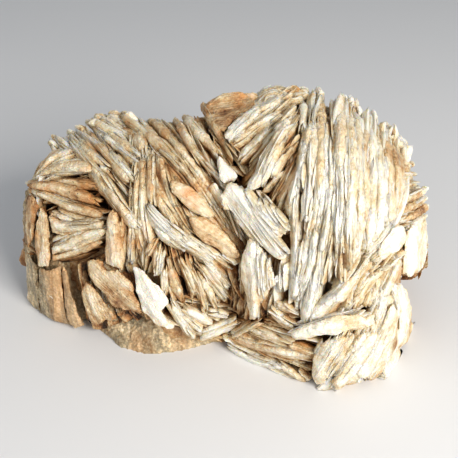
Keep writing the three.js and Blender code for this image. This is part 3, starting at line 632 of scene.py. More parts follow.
def mark(mesh, field, values):
    """Gives a mesh's points an attribute, a number or a vector each."""
    values = np.array(values, np.float32)
    kind, key = ("FLOAT_VECTOR", "vector") if values.ndim == 2 else ("FLOAT", "value")
    mesh.attributes.new(field, kind, "POINT").data.foreach_set(key, values.ravel())


def places_of(mesh):
    """A mesh's points, in metres."""
    places = np.empty(len(mesh.vertices) * 3, np.float32)
    mesh.vertices.foreach_get("co", places)
    return places.reshape(-1, 3)


class Laths:
    """Places for laths: where each starts, how it is turned, and its size, tips, tone and seed."""

    VECTORS = ("along", "up", "side", "size", "tips", "tapers")
    FIELDS = (*VECTORS, "tone", "seed")
    BROKEN = 0.3  # share of tips that are broken short

    def __init__(self):
        self.starts = []
        self.values = {name: [] for name in self.FIELDS}

    def add(self, rng, crest, lean, size, tone):
        """One lath along three crest points; size is its thickness and depth in mm. Most tips are
        drawn out to a point, and the rest are broken short."""
        start, middle, end = crest
        length = np.linalg.norm(end - start)
        along = (end - start) / length
        down = turned_about(-outward(middle), along, math.radians(lean))
        down = unit(down - along * down.dot(along))
        sag = (middle - (start + end) / 2).dot(-down)
        broken = rng.random(2) < self.BROKEN
        steep = min(size[1], length / 4)
        dips = np.where(broken, rng.uniform(0.2, 0.8, 2), rng.uniform(0.3, 0.6, 2) * steep)
        tapers = np.where(broken, rng.uniform(0.03, 0.08, 2), rng.uniform(0.12, 0.4, 2))
        given = {
            "along": along, "up": -down, "side": np.cross(-down, along),
            "size": np.array((length, *size)) * MM, "tips": np.array((*dips, sag)) * MM,
            "tapers": (tapers[0], 1 - tapers[1], min(1.0, size[0] / 3)), "tone": tone,
            "seed": rng.uniform(0, 100),
        }
        self.starts.append(start * MM)
        for name, value in given.items():
            self.values[name].append(value)

    def points_mesh(self, name):
        """The places as a mesh of loose points that carry the values as attributes."""
        mesh = bpy.data.meshes.new(name)
        mesh.vertices.add(len(self.starts))
        mesh.vertices.foreach_set("co", np.array(self.starts, np.float32).ravel())
        for field in self.FIELDS:
            mark(mesh, field, self.values[field])
        return mesh


def sunk(sheaf, form, share):
    """How far laths sink at a share across a sheaf, in mm: most half way between two ridges."""
    along = share * (sheaf.ridges - 1)
    return form.groove / MM * (2 * abs(along - round(along))) ** 1.3


def top_lift(sheaf):
    """The highest lift at the ends of a show sheaf, if it is over 0; a back sheaf has none."""
    ends = (*sheaf.first, *sheaf.last) if sheaf.first else ()
    return max((0, *(end[2] for end in ends)))


def held_normal(rng, mean, spread, low, high):
    """A chance number about a mean, held between two limits."""
    return np.clip(rng.normal(mean, spread), low, high)


def off_corner(crest):
    """Whether a lath would stand out where the corner under the right end is broken away."""
    for point in crest:
        sight = point - EYE
        card = EYE + sight * SHOW_DISTANCE / sight.dot(-TO_EYE) - FACE_MIDDLE
        across, up = card[0], card.dot(CARD_UP)
        if across > BROKEN_CORNER[0][0] and up < np.interp(across, *zip(*BROKEN_CORNER)):
            return True
    return False


def carried(crest, lift=0):
    """Whether a lath has its middle on the form, above the foot; lift is its sheaf's highest."""
    middle = crest[1]
    within = outness(middle) < REACH[0] + REACH[1] * lift
    return within and middle[2] > LOWEST and not off_corner(crest)


def lay_sheaf(laths, rng, form, sheaf, crest_at):
    """Lays overlapping laths in lines along a sheaf, higher on its ridges than in its grooves."""
    lines = max(1, round(span(crest_at(0, 0.5, 0), crest_at(1, 0.5, 0)) / sheaf.pitch))
    for line in range(lines + 1):
        share = line / lines
        length = span(crest_at(share, 0, 0), crest_at(share, 1, 0))
        step = -rng.uniform(0, 0.4) * sheaf.short / length
        while step < 1 - 3 / length:
            run = rng.uniform(sheaf.short, sheaf.long) / length
            first, last = max(step, -OVERHANG), min(step + run, 1 + OVERHANG)
            lift = held_normal(rng, *LATH_LIFT) - sunk(sheaf, form, share)
            a, b = np.clip(share + rng.normal(0, 0.4, 2) / lines, -OVERHANG, 1 + OVERHANG)
            crest = [crest_at(a + (b - a) * t, first + (last - first) * t, lift) for t in ALONG]
            kind = rng.choice(LATH_KINDS, p=LATH_CHANCES)
            thick = sheaf.pitch * kind * rng.uniform(0.8, 1.2)
            size = (thick, min(10.0, 4 + 1.5 * thick))
            if carried(crest, top_lift(sheaf)):
                lean = sheaf.lean + rng.normal(0, LATH_LEAN)
                laths.add(rng, crest, lean, size, sheaf.tone + rng.normal(0, TONE_SPREAD))
            step += run * rng.uniform(0.35, 0.7)


def lay_splinters(laths, rng, form, sheaf, crest_at):
    """Scatters thin splinters over a sheaf, nearly along it."""
    width = span(crest_at(0, 0.5, 0), crest_at(1, 0.5, 0))
    length = span(crest_at(0.5, 0, 0), crest_at(0.5, 1, 0))
    for _ in range(round(width * length * form.splinters)):
        run = min(rng.uniform(*SPLINTER_LENGTH), length) / length
        share, first = rng.uniform(0, 1), rng.uniform(-0.01, 1.01 - run)
        slant = rng.normal(0, 0.08) * run * length / max(width, 1)
        lift = held_normal(rng, *SPLINTER_LIFT) - sunk(sheaf, form, share)
        crest = [crest_at(share + slant * (t - 0.5), first + run * t, lift) for t in ALONG]
        size = [rng.uniform(*limits) for limits in SPLINTER_SIZE]
        if carried(crest, top_lift(sheaf)):
            lean = sheaf.lean + rng.normal(0, SPLINTER_LEAN)
            laths.add(rng, crest, lean, size, sheaf.tone + rng.normal(0.1, TONE_SPREAD))


def lay_plate(laths, rng, plate):
    """Covers a broad crystal's face with the low laths that make it up, side by side."""
    outline, spine = np.array(plate.outline, float), np.array(plate.spine, float)
    axis = unit(spine[-1] - spine[0])
    aside = np.array((-axis[1], axis[0]))
    along, across = (outline - spine[0]) @ axis, (outline - spine[0]) @ aside
    breadth = across.max() - across.min()
    lines = max(2, round(breadth / PLATE_PITCH))
    for line in range(lines):
        off = across.min() + breadth * (line + 0.5 + rng.uniform(-0.2, 0.2)) / lines
        # Where a line at this distance from the spine runs into and out of the outline.
        ends = []
        for k in range(len(outline)):
            a, b = across[k - 1] - off, across[k] - off
            if a * b < 0:
                ends.append(along[k - 1] + (along[k] - along[k - 1]) * a / (a - b))
        start, end = min(ends), max(ends)
        rise = plate.crown * (1 - abs(2 * (line + 0.5) / lines - 1))
        # Two laths to a line, each over most of its length.
        for _ in range(2):
            a, b = np.sort(rng.uniform(0, 1, 2)) * (0.25, 0.25) + (0, 0.75)
            crest = []
            for t in ALONG:
                place = spine[0] + axis * (start + (end - start) * (a + (b - a) * t))
                place = place + aside * (off + rng.normal(0, 0.3))
                lift = plate.lift + rise + rng.uniform(0.0, 0.6)
                crest.append(on_show_face((*place, lift)))
            size = (PLATE_PITCH * rng.uniform(0.5, 1.2), 3.0)
            lean = rng.normal(0, LATH_LEAN)
            laths.add(rng, crest, lean, size, plate.tone + rng.normal(0, FACE_TONE_SPREAD))


def path_lengths(path):
    """How far along a path of straight lines each of its corners lies."""
    steps = np.linalg.norm(np.diff(np.array(path, float), axis=0), axis=1)
    return np.concatenate(([0], np.cumsum(steps)))


def along_path(path, shares):
    """Places at shares of the length of a path of straight lines."""
    lengths = path_lengths(path)
    return np.column_stack([np.interp(shares * lengths[-1], lengths, axis) for axis in zip(*path)])


def lay_blade(laths, rng, blade):
    """Covers a long crystal's edge with the thin laths that make it up, end over end."""
    reach = path_lengths(blade.path)[-1]
    lines = max(2, round(blade.width / BLADE_PITCH))
    for line in range(lines):
        off = (line + 0.5) / lines - 0.5
        step = -rng.uniform(0, 4) / reach
        while step < 1 - 2 / reach:
            run = rng.uniform(*EDGE_LENGTH) / reach
            shares = np.clip(np.array((step, step + run / 2, step + run)), 0, 1)
            places = along_path(blade.path, shares)
            way = places[2] - places[0]
            aside = np.array((-way[1], way[0])) / np.linalg.norm(way)
            wander = rng.normal(0, 0.2, 3)[:, None]
            places = places + aside * (off * blade.width * 0.9 + wander)
            rise = rng.normal(0.1, 0.3) - abs(off) * (0.6 + 0.25 * blade.width)
            lifts = np.interp(shares, (0, 1), blade.lifts) + rise
            crest = [on_show_face((*place, lift)) for place, lift in zip(places, lifts)]
            size = [rng.uniform(*limits) for limits in EDGE_SIZE]
            lean = rng.normal(0, EDGE_LEAN)
            if span(crest[2], crest[0]) > 2:
                laths.add(rng, crest, lean, size, blade.tone + rng.normal(0, EDGE_TONE_SPREAD))
            step += run * rng.uniform(0.5, 0.9)


class Nodes:
    """Adds nodes to a tree. An input is given a socket or a node to follow, or a value."""

    def __init__(self, tree):
        self.tree = tree

    def __call__(self, kind, links=None, **settings):
        node = self.tree.nodes.new(kind)
        for key, value in settings.items():
            setattr(node, key, value)
        for socket, source in (links or {}).items():
            if isinstance(source, bpy.types.Node):
                source = source.outputs[0]
            if isinstance(source, bpy.types.NodeSocket):
                self.tree.links.new(source, node.inputs[socket])
            else:
                node.inputs[socket].default_value = source
        return node

    def calc(self, operation, *values):
        """Arithmetic on numbers."""
        return self("ShaderNodeMath", dict(enumerate(values)), operation=operation)

    def total(self, first, *others):
        """The sum of several numbers."""
        for other in others:
            first = self.calc("ADD", first, other)
        return first

    def vector(self, operation, first, second):
        """Arithmetic on vectors; SCALE takes a number second."""
        other = "Scale" if operation == "SCALE" else 1
        return self("ShaderNodeVectorMath", {0: first, other: second}, operation=operation)

    def span(self, value, low, high, start, end):
        """A number from low to high as one from start to end, and held beyond them."""
        return self("ShaderNodeMapRange", dict(enumerate((value, low, high, start, end))))

    def noise(self, place, size, detail, **more):
        """Noise with clouds of a size in the units of the place."""
        links = {"Vector": place, "Scale": 1 / size, "Detail": detail, **more}
        return self("ShaderNodeTexNoise", links)

    def ladder(self, value, *steps):
        """Colours at steps from 0 to 1, each given as its place and its colour."""
        ramp = self("ShaderNodeValToRGB", {"Fac": value})
        stops = ramp.color_ramp.elements
        while len(stops) < len(steps):
            stops.new(0.5)
        for stop, (position, colour) in zip(stops, steps):
            stop.position = position
            stop.color = colour
        return ramp

    def blend(self, share, first, second):
        """A share of a second colour over a first."""
        links = {0: share, 6: first, 7: second}
        return self("ShaderNodeMix", links, data_type="RGBA").outputs[2]

    def surface(self, colour, roughness, height, strength, distance, glow, glow_radius):
        """A barite surface with bumps, and with light let in by a share called its glow."""
        links = {"Height": height, "Strength": strength, "Distance": distance}
        skin = self("ShaderNodeBsdfPrincipled", {
            "Base Color": colour, "Roughness": roughness, "IOR": 1.64,
            "Normal": self("ShaderNodeBump", links), "Subsurface Weight": glow,
            "Subsurface Radius": glow_radius, "Subsurface Scale": 2 * MM,
        })
        self("ShaderNodeOutputMaterial", {"Surface": skin})


def lath_blank(name, shape):
    """One lath of unit length, thickness and depth: a closed tube with edges along it."""
    mesh = bpy.data.meshes.new(name)
    ring = len(shape["ring"])
    shares = [(a, d, s) for a in shape["sections"] for d, s in shape["ring"]]
    faces = [tuple(range(ring)), tuple(reversed(range(len(shares) - ring, len(shares))))]
    for a in range(len(shares) - ring):
        b = a + 1 if (a + 1) % ring else a + 1 - ring
        faces.append((b, a, a + ring, b + ring))
    mesh.from_pydata([(a, s, -d) for a, d, s in shares], [], faces)
    mesh.shade_smooth()
    for edge in mesh.edges:
        a, b = sorted(edge.vertices)
        edge.use_edge_sharp = b - a == ring and a % ring in shape["edges"]
    for field, values in zip(("run", "deep", "flank"), zip(*shares)):
        mark(mesh, field, values)
    return bpy.data.objects.new(name, mesh)


def lath_tree():
    """The node tree that puts a lath on each point and shapes its tips, crest and sides."""
    tree = bpy.data.node_groups.new("Barite laths", "GeometryNodeTree")
    for name, kind in (
        ("Points", "Geometry"), ("Lath", "Object"), ("Ragged crest", "Float"),
        ("Wavy side", "Float"), ("Lumps", "Float"), ("Seed", "Float"), ("Material", "Material"),
    ):
        tree.interface.new_socket(name, in_out="INPUT", socket_type="NodeSocket" + kind)
    tree.interface.new_socket("Laths", in_out="OUTPUT", socket_type="NodeSocketGeometry")
    nodes = Nodes(tree)
    given = nodes("NodeGroupInput").outputs
    held = {
        name: nodes(
            "GeometryNodeInputNamedAttribute", {"Name": name},
            data_type="FLOAT_VECTOR" if name in Laths.VECTORS else "FLOAT",
        ).outputs["Attribute"]
        for name in (*Laths.FIELDS, "run", "deep", "flank")
    }
    size, tips, tapers = (
        nodes("ShaderNodeSeparateXYZ", {0: held[name]}).outputs
        for name in ("size", "tips", "tapers")
    )
    run = held["run"]
    blank = nodes("GeometryNodeObjectInfo", {"Object": given["Lath"]}).outputs["Geometry"]
    turn = nodes(
        "FunctionNodeAxesToRotation", {0: held["along"], 1: held["up"]},
        primary_axis="X", secondary_axis="Z",
    )
    # The size's order is length, thickness, depth: the blank's x, y and z.
    placed = nodes("GeometryNodeInstanceOnPoints", {
        "Points": given["Points"], "Instance": blank, "Rotation": turn, "Scale": held["size"],
    })
    solid = nodes("GeometryNodeRealizeInstances", {0: placed})
    seed = nodes.calc("ADD", held["seed"], given["Seed"])
    spot = nodes("ShaderNodeCombineXYZ", {0: run, 2: seed})
    # The crest: jagged, drawn down at both tips, arched along the form.
    jag = nodes("ShaderNodeTexWhiteNoise", {"Vector": spot})
    jagged = nodes.calc("MULTIPLY", jag, given["Ragged crest"])
    start = nodes.span(run, 0.0, tapers[0], tips[0], 0.0)
    end = nodes.span(run, tapers[1], 1.0, 0.0, tips[1])
    high = nodes.calc("SUBTRACT", 1.0, held["deep"])
    drop = nodes.calc("MULTIPLY", nodes.total(start, end, jagged), high)
    arch = nodes.calc("MULTIPLY", nodes.calc("SUBTRACT", 1.0, run), run)
    arch = nodes.calc("MULTIPLY", arch, 4.0)
    rise = nodes.calc("SUBTRACT", nodes.calc("MULTIPLY", arch, tips[2]), drop)
    # The sides: narrowed to the tips, and wandering a little.
    grown = nodes.span(run, 0.0, tapers[0], TIP_BREADTH, 1.0)
    faded = nodes.span(run, tapers[1], 1.0, 1.0, TIP_BREADTH)
    breadth = nodes.calc("SUBTRACT", nodes.calc("MULTIPLY", grown, faded), 1.0)
    breadth = nodes.calc("MULTIPLY", nodes.calc("MULTIPLY", breadth, held["flank"]), size[1])
    wave = nodes("ShaderNodeTexNoise", {"Vector": spot, "Scale": 2.5})
    wave = nodes.calc("SUBTRACT", wave, 0.5)
    wave = nodes.calc("MULTIPLY_ADD", wave, given["Wavy side"], breadth)
    lifted = nodes.vector("SCALE", held["up"], rise)
    waved = nodes.vector("SCALE", held["side"], wave)
    moved = nodes.vector("ADD", lifted, waved)
    shaped = nodes("GeometryNodeSetPosition", {"Geometry": solid, "Offset": moved})
    # Lumps about 2.5 mm across over everything, less on thin laths.
    lump = nodes("ShaderNodeTexNoise", {"Scale": 1 / (2.5 * MM), "Detail": 1.0}).outputs["Color"]
    lump = nodes.vector("SUBTRACT", lump, (0.5, 0.5, 0.5))
    lump = nodes.vector("SCALE", lump, nodes.calc("MULTIPLY", given["Lumps"], tapers[2]))
    shaped = nodes("GeometryNodeSetPosition", {"Geometry": shaped, "Offset": lump})
    # A place along, across and down the lath, in mm, for its grain, far from those of other laths.
    grain = nodes("ShaderNodeCombineXYZ", {0: run, 1: held["flank"], 2: held["deep"]})
    grain = nodes.vector("SCALE", nodes.vector("MULTIPLY", grain, held["size"]), 1 / MM)
    own = nodes("ShaderNodeCombineXYZ", {0: nodes.calc("MULTIPLY", seed, 20.0)})
    marked = nodes(
        "GeometryNodeStoreNamedAttribute",
        {"Geometry": shaped, "Name": "grain", "Value": nodes.vector("ADD", grain, own)},
        data_type="FLOAT_VECTOR", domain="POINT",
    )
    plain = nodes("GeometryNodeRealizeInstances", {0: marked})
    done = nodes("GeometryNodeSetMaterial", {"Geometry": plain, "Material": given["Material"]})
    nodes("NodeGroupOutput", {0: done})
    return tree


def on_carrier(mesh, kind):
    """Puts a mesh on an object of its own with a modifier, and gives both."""
    carrier = bpy.data.objects.new(mesh.name, mesh)
    bpy.context.scene.collection.objects.link(carrier)
    return carrier, carrier.modifiers.new(kind, kind)


def taken_off(carrier):
    """The mesh that a carrier's modifier makes; the carrier is spent."""
    graph = bpy.context.evaluated_depsgraph_get()
    mesh = bpy.data.meshes.new_from_object(carrier.evaluated_get(graph), depsgraph=graph)
    bpy.data.objects.remove(carrier)
    return mesh


def piece_of(mesh, name):
    """Links a finished mesh as a piece of the specimen that stands for the part's solid."""
    piece = bpy.data.objects.new(name, mesh)
    bpy.context.scene.collection.objects.link(piece)
    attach(piece, "root")
    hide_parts(NODE)
    return piece


def lath_piece(name, laths, shape, form, material):
    """Turns lath places into one finished piece, with laths of a given cross-section."""
    tree = bpy.data.node_groups.get("Barite laths") or lath_tree()
    blank = lath_blank(name + "_blank", shape)
    carrier, modifier = on_carrier(laths.points_mesh(name + "_places"), "NODES")
    modifier.node_group = tree
    given = {
        "Lath": blank, "Ragged crest": form.ragged, "Wavy side": form.wave, "Lumps": form.lumps,
        "Seed": form.seed, "Material": material,
    }
    for item in tree.interface.items_tree:
        if item.name in given:
            modifier[item.identifier] = given[item.name]
    mesh = taken_off(carrier)
    mesh.name = name
    bpy.data.objects.remove(blank)
    for field in ("along", "up", "side", "tips", "tapers", "seed", "run", "flank"):
        mesh.attributes.remove(mesh.attributes[field])
    cut_at_foot(mesh)
    deep, size = np.empty(len(mesh.vertices)), np.empty(len(mesh.vertices) * 3)
    mesh.attributes["deep"].data.foreach_get("value", deep)
    mesh.attributes["size"].data.foreach_get("vector", size)
    mesh.attributes.remove(mesh.attributes["size"])
    mark_recess(mesh, deep * size.reshape(-1, 3)[:, 2] / MM)
    piece_of(mesh, name)


def cut_at_foot(mesh):
    """Cuts a mesh of closed shells off flat at the foot."""
    shell = bmesh.new()
    shell.from_mesh(mesh)
    everything = [*shell.verts, *shell.edges, *shell.faces]
    bmesh.ops.bisect_plane(
        shell, geom=everything, plane_co=(0, 0, 0), plane_no=(0, 0, 1), clear_inner=True
    )
    bmesh.ops.holes_fill(shell, edges=[edge for edge in shell.edges if edge.is_boundary])
    shell.to_mesh(mesh)
    shell.free()


def mark_recess(mesh, below=None):
    """Marks how deep each point lies in the overall form or, where that is more, below its own
    crystal's crest, in mm."""
    depth = depth_in_form(places_of(mesh) / MM)
    if below is not None:
        depth = np.maximum(depth, (below - CREST_FREE_OF_STAIN_AND_SHADE) / 2)
    mark(mesh, "recess", depth)


def new_material(name):
    """An empty material, a way to add its nodes, and the place of a point in metres."""
    material = bpy.data.materials.new(name)
    material.use_nodes = True
    material.node_tree.nodes.clear()
    nodes = Nodes(material.node_tree)
    return material, nodes, nodes("ShaderNodeTexCoord").outputs["Object"]


def blade_barite(colours):
    """Bladed barite, grown: chalk-white to cream crystal edges that let a little light in,
    whitened by a painted highlight at the crests, with iron rust washed into the gaps and painted
    shade darkening them, fine striae along each lath and a few dark specks."""
    material, nodes, place = new_material(BLADED)
    recess, tone, grain, deep = (
        nodes("ShaderNodeAttribute", attribute_name=name).outputs
        for name in ("recess", "tone", "grain", "deep")
    )
    # Clouds of stain about 25 mm and 5 mm across, and grains about 1.2 mm across.
    broad = nodes.noise(place, 25 * MM, 3.0)
    local = nodes.noise(place, 5 * MM, 6.0, Roughness=0.62)
    grains = nodes.noise(place, 1.2 * MM, 3.0)
    # Striae half a millimetre apart and several millimetres long.
    stretched = nodes("ShaderNodeMapping", {"Vector": grain["Vector"], "Scale": (0.16, 1.8, 1.8)})
    striae = nodes.noise(stretched, 1.0, 4.0)
    # Rust stain and painted shade grow with depth under the crests; a painted highlight whitens
    # the crests, and tone makes whole crystals lighter or darker.
    under = nodes("ShaderNodeClamp", {"Value": recess["Fac"], "Min": -0.5, "Max": 4.0})
    stain_shade_and_highlight = nodes.total(
        # Rust stain and painted shade, deeper in the hollows, held at 4 mm.
        nodes.calc("MULTIPLY_ADD", under, 0.11, 0.39),
        # Painted highlight: whiter near each crystal's crest.
        nodes.span(deep["Fac"], 0.0, 0.3, -0.22, 0.0),
        nodes.calc("MULTIPLY", tone["Fac"], -0.3),
        nodes.span(local, 0.3, 0.7, -0.2, 0.2),
        nodes.span(broad, 0.35, 0.65, -0.16, 0.16),
        nodes.span(striae, 0.3, 0.7, -0.1, 0.1),
        nodes.span(grains, 0.3, 0.7, -0.1, 0.1),
    )
    # From white, with the painted highlight on crests, to brown, which is rust stain with painted
    # shade deep in the gaps.
    stained = nodes.ladder(
        stain_shade_and_highlight, (0.0, colours.white), (0.2, colours.cream), (0.42, colours.sand),
        (0.62, colours.tan), (0.82, colours.ochre), (1.0, colours.brown_stain_and_shade),
    )
    # Patches of bright rust about a centimetre across, on crystals of low tone only.
    patch = nodes.span(nodes.noise(place, 9 * MM, 5.0), 0.52, 0.66, 0.0, 0.75)
    patch = nodes.calc("MULTIPLY", patch, nodes.span(tone["Fac"], 0.3, -0.5, 0.0, 1.0))
    rusty = nodes.blend(patch, stained, colours.rust)
    # Dark specks of manganese, under a millimetre across, in clusters.
    specks = nodes.span(nodes.noise(place, 0.9 * MM, 1.0), 0.7, 0.75, 0.0, 0.8)
    specks = nodes.calc("MULTIPLY", specks, nodes.span(broad, 0.5, 0.6, 0.0, 1.0))
    colour = nodes.blend(specks, rusty, colours.speck)
    rough = nodes.span(striae, 0.3, 0.7, 0.34, 0.62)
    relief = nodes.calc("MULTIPLY_ADD", nodes.noise(place, 0.8 * MM, 4.0), 0.8, striae)
    nodes.surface(colour, rough, relief, 1.0, 0.9 * MM, 0.5, (1.0, 0.7, 0.4))
    return material


def massive_barite(colours):
    """Massive barite, broken: grey-tan, granular and half translucent, with upright striae on its
    broken faces and rust in its hollows."""
    material, nodes, place = new_material(MASSIVE)
    upright = nodes("ShaderNodeMapping", {"Vector": place, "Scale": (1.0, 1.0, 0.14)})
    # Upright striae about 1.5 mm apart, clouds about 9 mm across and grains about a millimetre.
    striae = nodes.noise(upright, 1.5 * MM, 4.0)
    broad = nodes.noise(place, 9 * MM, 6.0)
    fine = nodes.noise(place, 1 * MM, 4.0)
    level = nodes.span(nodes.total(striae, broad, fine), 1.15, 1.9, 0.0, 1.0)
    stone = nodes.ladder(
        level, (0.0, colours.shadow), (0.4, colours.slab), (0.8, colours.sand),
        (1.0, colours.cream),
    )
    # A thin wash of rust in clouds about 14 mm across.
    wash = nodes.span(nodes.noise(upright, 14 * MM, 3.0), 0.45, 0.68, 0.0, 0.45)
    colour = nodes.blend(wash, stone, colours.rust)
    relief = nodes.total(striae, fine)
    nodes.surface(colour, 0.5, relief, 0.6, 0.8 * MM, 0.4, (1.0, 0.7, 0.45))
    return material


def kept_material(name, context):
    """A material made once and used by several pieces."""
    maker = {BLADED: blade_barite, MASSIVE: massive_barite}[name]
    return bpy.data.materials.get(name) or maker(context.scene.barite_colours)


def closed(shell, name):
    """A closed shell as a mesh, with its faces turned outward."""
    bmesh.ops.recalc_face_normals(shell, faces=shell.faces)
    mesh = bpy.data.meshes.new(name)
    shell.to_mesh(mesh)
    shell.free()
    return mesh


def hull(points):
    """A closed mesh around points in mm, in metres."""
    shell = bmesh.new()
    for point in points:
        shell.verts.new([value * MM for value in point])
    made = bmesh.ops.convex_hull(shell, input=shell.verts)
    spare = {*made["geom_interior"], *made["geom_unused"]}
    loose = [item for item in spare if isinstance(item, bmesh.types.BMVert)]
    bmesh.ops.delete(shell, geom=loose, context="VERTS")
    return closed(shell, "hull")


def remeshed(meshes, voxel):
    """Several closed meshes as one even skin."""
    joined = bmesh.new()
    for mesh in meshes:
        joined.from_mesh(mesh)
    mesh = bpy.data.meshes.new("skin")
    joined.to_mesh(mesh)
    joined.free()
    carrier, modifier = on_carrier(mesh, "REMESH")
    modifier.mode = "VOXEL"
    modifier.voxel_size = voxel
    return taken_off(carrier)


def roughen(mesh, direction, stretch, amount):
    """Moves a skin's points along their normals by striae drawn out along a direction and by
    knobs; amount in mm. Points near the foot stay on it."""
    places = places_of(mesh)
    normals = np.empty(len(mesh.vertices) * 3, np.float32)
    mesh.vertex_normals.foreach_get("vector", normals)
    direction = np.asarray(direction, float)
    grains = places / MM
    spots = grains + (grains @ direction)[:, None] * direction * (stretch - 1)
    # Striae 6, 2.2 and 1.2 mm apart and knobs 2.5 and 1.3 mm across, the finest all outward.
    heights = [
        noise.noise(spot / 6) * 0.5 + noise.noise(spot / 2.2) * 0.55
        + abs(noise.noise(spot / 1.2)) * 0.4
        + noise.noise(grain / 2.5) * 0.35 + abs(noise.noise(grain / 1.3)) * 0.25
        for spot, grain in zip(map(Vector, spots), map(Vector, grains))
    ]
    held = np.clip(places[:, 2] / (2 * MM), 0, 1)
    places += normals.reshape(-1, 3) * (np.array(heights) * held * amount * MM)[:, None]
    places[:, 2] = places[:, 2].clip(0)
    mesh.vertices.foreach_set("co", places.ravel())
    mesh.update()


def plate_shell(plate):
    """A broad crystal as a closed mesh: a face raised along its spine, over a smaller root."""
    outline, spine = np.array(plate.outline, float), np.array(plate.spine, float)
    flat = [Vector(place) for place in (*outline, *spine)]
    rim = len(outline)
    edges = [(k, (k + 1) % rim) for k in range(rim)]
    edges += [(rim + k, rim + k + 1) for k in range(len(spine) - 1)]
    places, _, faces, origins, _, _ = geometry.delaunay_2d_cdt(flat, edges, [], 1, 1e-4)
    middle = outline.mean(0)
    front, back = [], []
    for place, origin in zip(places, origins):
        on_rim = any(k < rim for k in origin)
        lift = plate.lift + (0 if on_rim else plate.crown)
        front.append(on_show_face((*place, lift)) * MM)
        inner = middle + (np.array(place) - middle) * ROOT_SHARE
        back.append(on_show_face((*inner, plate.lift - plate.depth)) * MM)
    where = {k: at for at, origin in enumerate(origins) for k in origin}
    count = len(front)
    shell = bmesh.new()
    corners = [shell.verts.new(corner) for corner in (*front, *back)]
    sides = [(where[b], where[a], count + where[a], count + where[b]) for a, b in edges[:rim]]
    roots = [tuple(count + k for k in reversed(face)) for face in faces]
    for face in (*faces, *roots, *sides):
        shell.faces.new([corners[k] for k in face])
    return closed(shell, "plate")


def blade_shell(rng, blade):
    """A long crystal as a closed mesh: a roof-shaped edge along its crest, over a root; both ends
    are drawn out, and steps along it show the laths that make it up."""
    reach = path_lengths(blade.path)[-1]
    count = max(6, round(reach / BLADE_STEP))
    shares = np.linspace(0, 1, count)
    places = along_path(blade.path, shares)
    runs = np.gradient(places, axis=0)
    asides = np.column_stack((-runs[:, 1], runs[:, 0])) / np.linalg.norm(runs, axis=1)[:, None]
    # Each end is broken short or drawn out.
    tips = np.where(rng.random(2) < 0.5, rng.uniform(0.8, 2, 2), rng.uniform(2.5, 6, 2)) / reach
    broad = np.clip(np.minimum(shares / tips[0], (1 - shares) / tips[1]), 0.12, 1) ** 0.8
    # Steps: the crest drops or shifts where one lath ends on the next.
    ways = rng.choice((0, 1, -1), count, p=(0.6, 0.2, 0.2))
    steps = np.cumsum(ways * rng.uniform(0.2, 0.8, count))
    steps = np.clip(steps - steps.mean(), -0.9, 0.9)
    lifts = np.linspace(*blade.lifts, count) + steps - 0.4 - 2.5 * (1 - broad)
    broad = broad * rng.uniform(0.78, 1.12, count)
    asides = asides * blade.width / 2
    lean = asides / (blade.width / 2) * blade.lean
    # The section, from the crest round: share of the half width, and height.
    flank = 0.8 + 0.4 * blade.width
    ring = (
        (0.15, 0), (1, -flank), (0.85, -BLADE_DEPTH), (-0.85, -BLADE_DEPTH), (-1, -flank),
        (-0.15, 0),
    )
    shell = bmesh.new()
    rows = []
    for at in range(count):
        row = []
        for share, drop in ring:
            place = places[at] + asides[at] * share * broad[at] - lean[at] * drop / BLADE_DEPTH
            row.append(shell.verts.new(on_show_face((*place, lifts[at] + drop)) * MM))
        rows.append(row)
    for first, second in zip(rows, rows[1:]):
        for k in range(len(ring)):
            after = (k + 1) % len(ring)
            shell.faces.new((first[k], first[after], second[after], second[k]))
    shell.faces.new(rows[0])
    shell.faces.new(rows[-1])
    return closed(shell, "blade")


def grown_piece(name, crystals, material):
    """One piece of several crystals, each given as its closed mesh, the two ends of its crest in
    mm and its tone: skins with striae along them."""
    points, faces, held = [], [], {"tone": [], "grain": [], "deep": [], "below": []}
    count = 0
    for number, (shell, ends, tone) in enumerate(crystals):
        skin = remeshed([shell], SKIN_STEP * MM)
        along = unit(ends[1] - ends[0])
        roughen(skin, along, SKIN_STRETCH, SKIN_RELIEF)
        places = places_of(skin).astype(float)
        points.append(places)
        faces += [[count + k for k in face.vertices] for face in skin.polygons]
        count += len(places)
        across = unit(np.cross(along, outward(ends[0])))
        axes = np.array((along, across, np.cross(along, across)))
        depth = depth_in_form(places / MM)
        # The crest is taken where only 3 in 100 points lie higher.
        below = depth - np.percentile(depth, 3)
        held["tone"].append(np.full(len(places), tone))
        held["grain"].append(places / MM @ axes.T + (0, 0, number * GRAIN_APART))
        held["deep"].append(np.clip(below / HIGHLIGHT_DEPTH_SCALE, 0, 1))
        held["below"].append(below)
        bpy.data.meshes.remove(skin)
        bpy.data.meshes.remove(shell)
    mesh = bpy.data.meshes.new(name)
    mesh.from_pydata(np.concatenate(points), [], faces)
    mesh.materials.append(material)
    for field in ("tone", "grain", "deep"):
        mark(mesh, field, np.concatenate(held[field]))
    mark_recess(mesh, np.concatenate(held["below"]))
    piece_of(mesh, name)


def size_setting(name, description, millimetres):
    """A setting for a length."""
    return bpy.props.FloatProperty(
        name=name, description=description, default=millimetres * MM, unit="LENGTH", precision=5
    )


def colour_setting(name, description, colour):
    """A setting for a colour, given in hex."""
    return bpy.props.FloatVectorProperty(
        name=name, description=description, subtype="COLOR", size=4, default=hexed(colour)
    )


def power_setting(name, description, watts):
    """A setting for a light's power."""
    return bpy.props.FloatProperty(name=name, description=description, default=watts, unit="POWER")


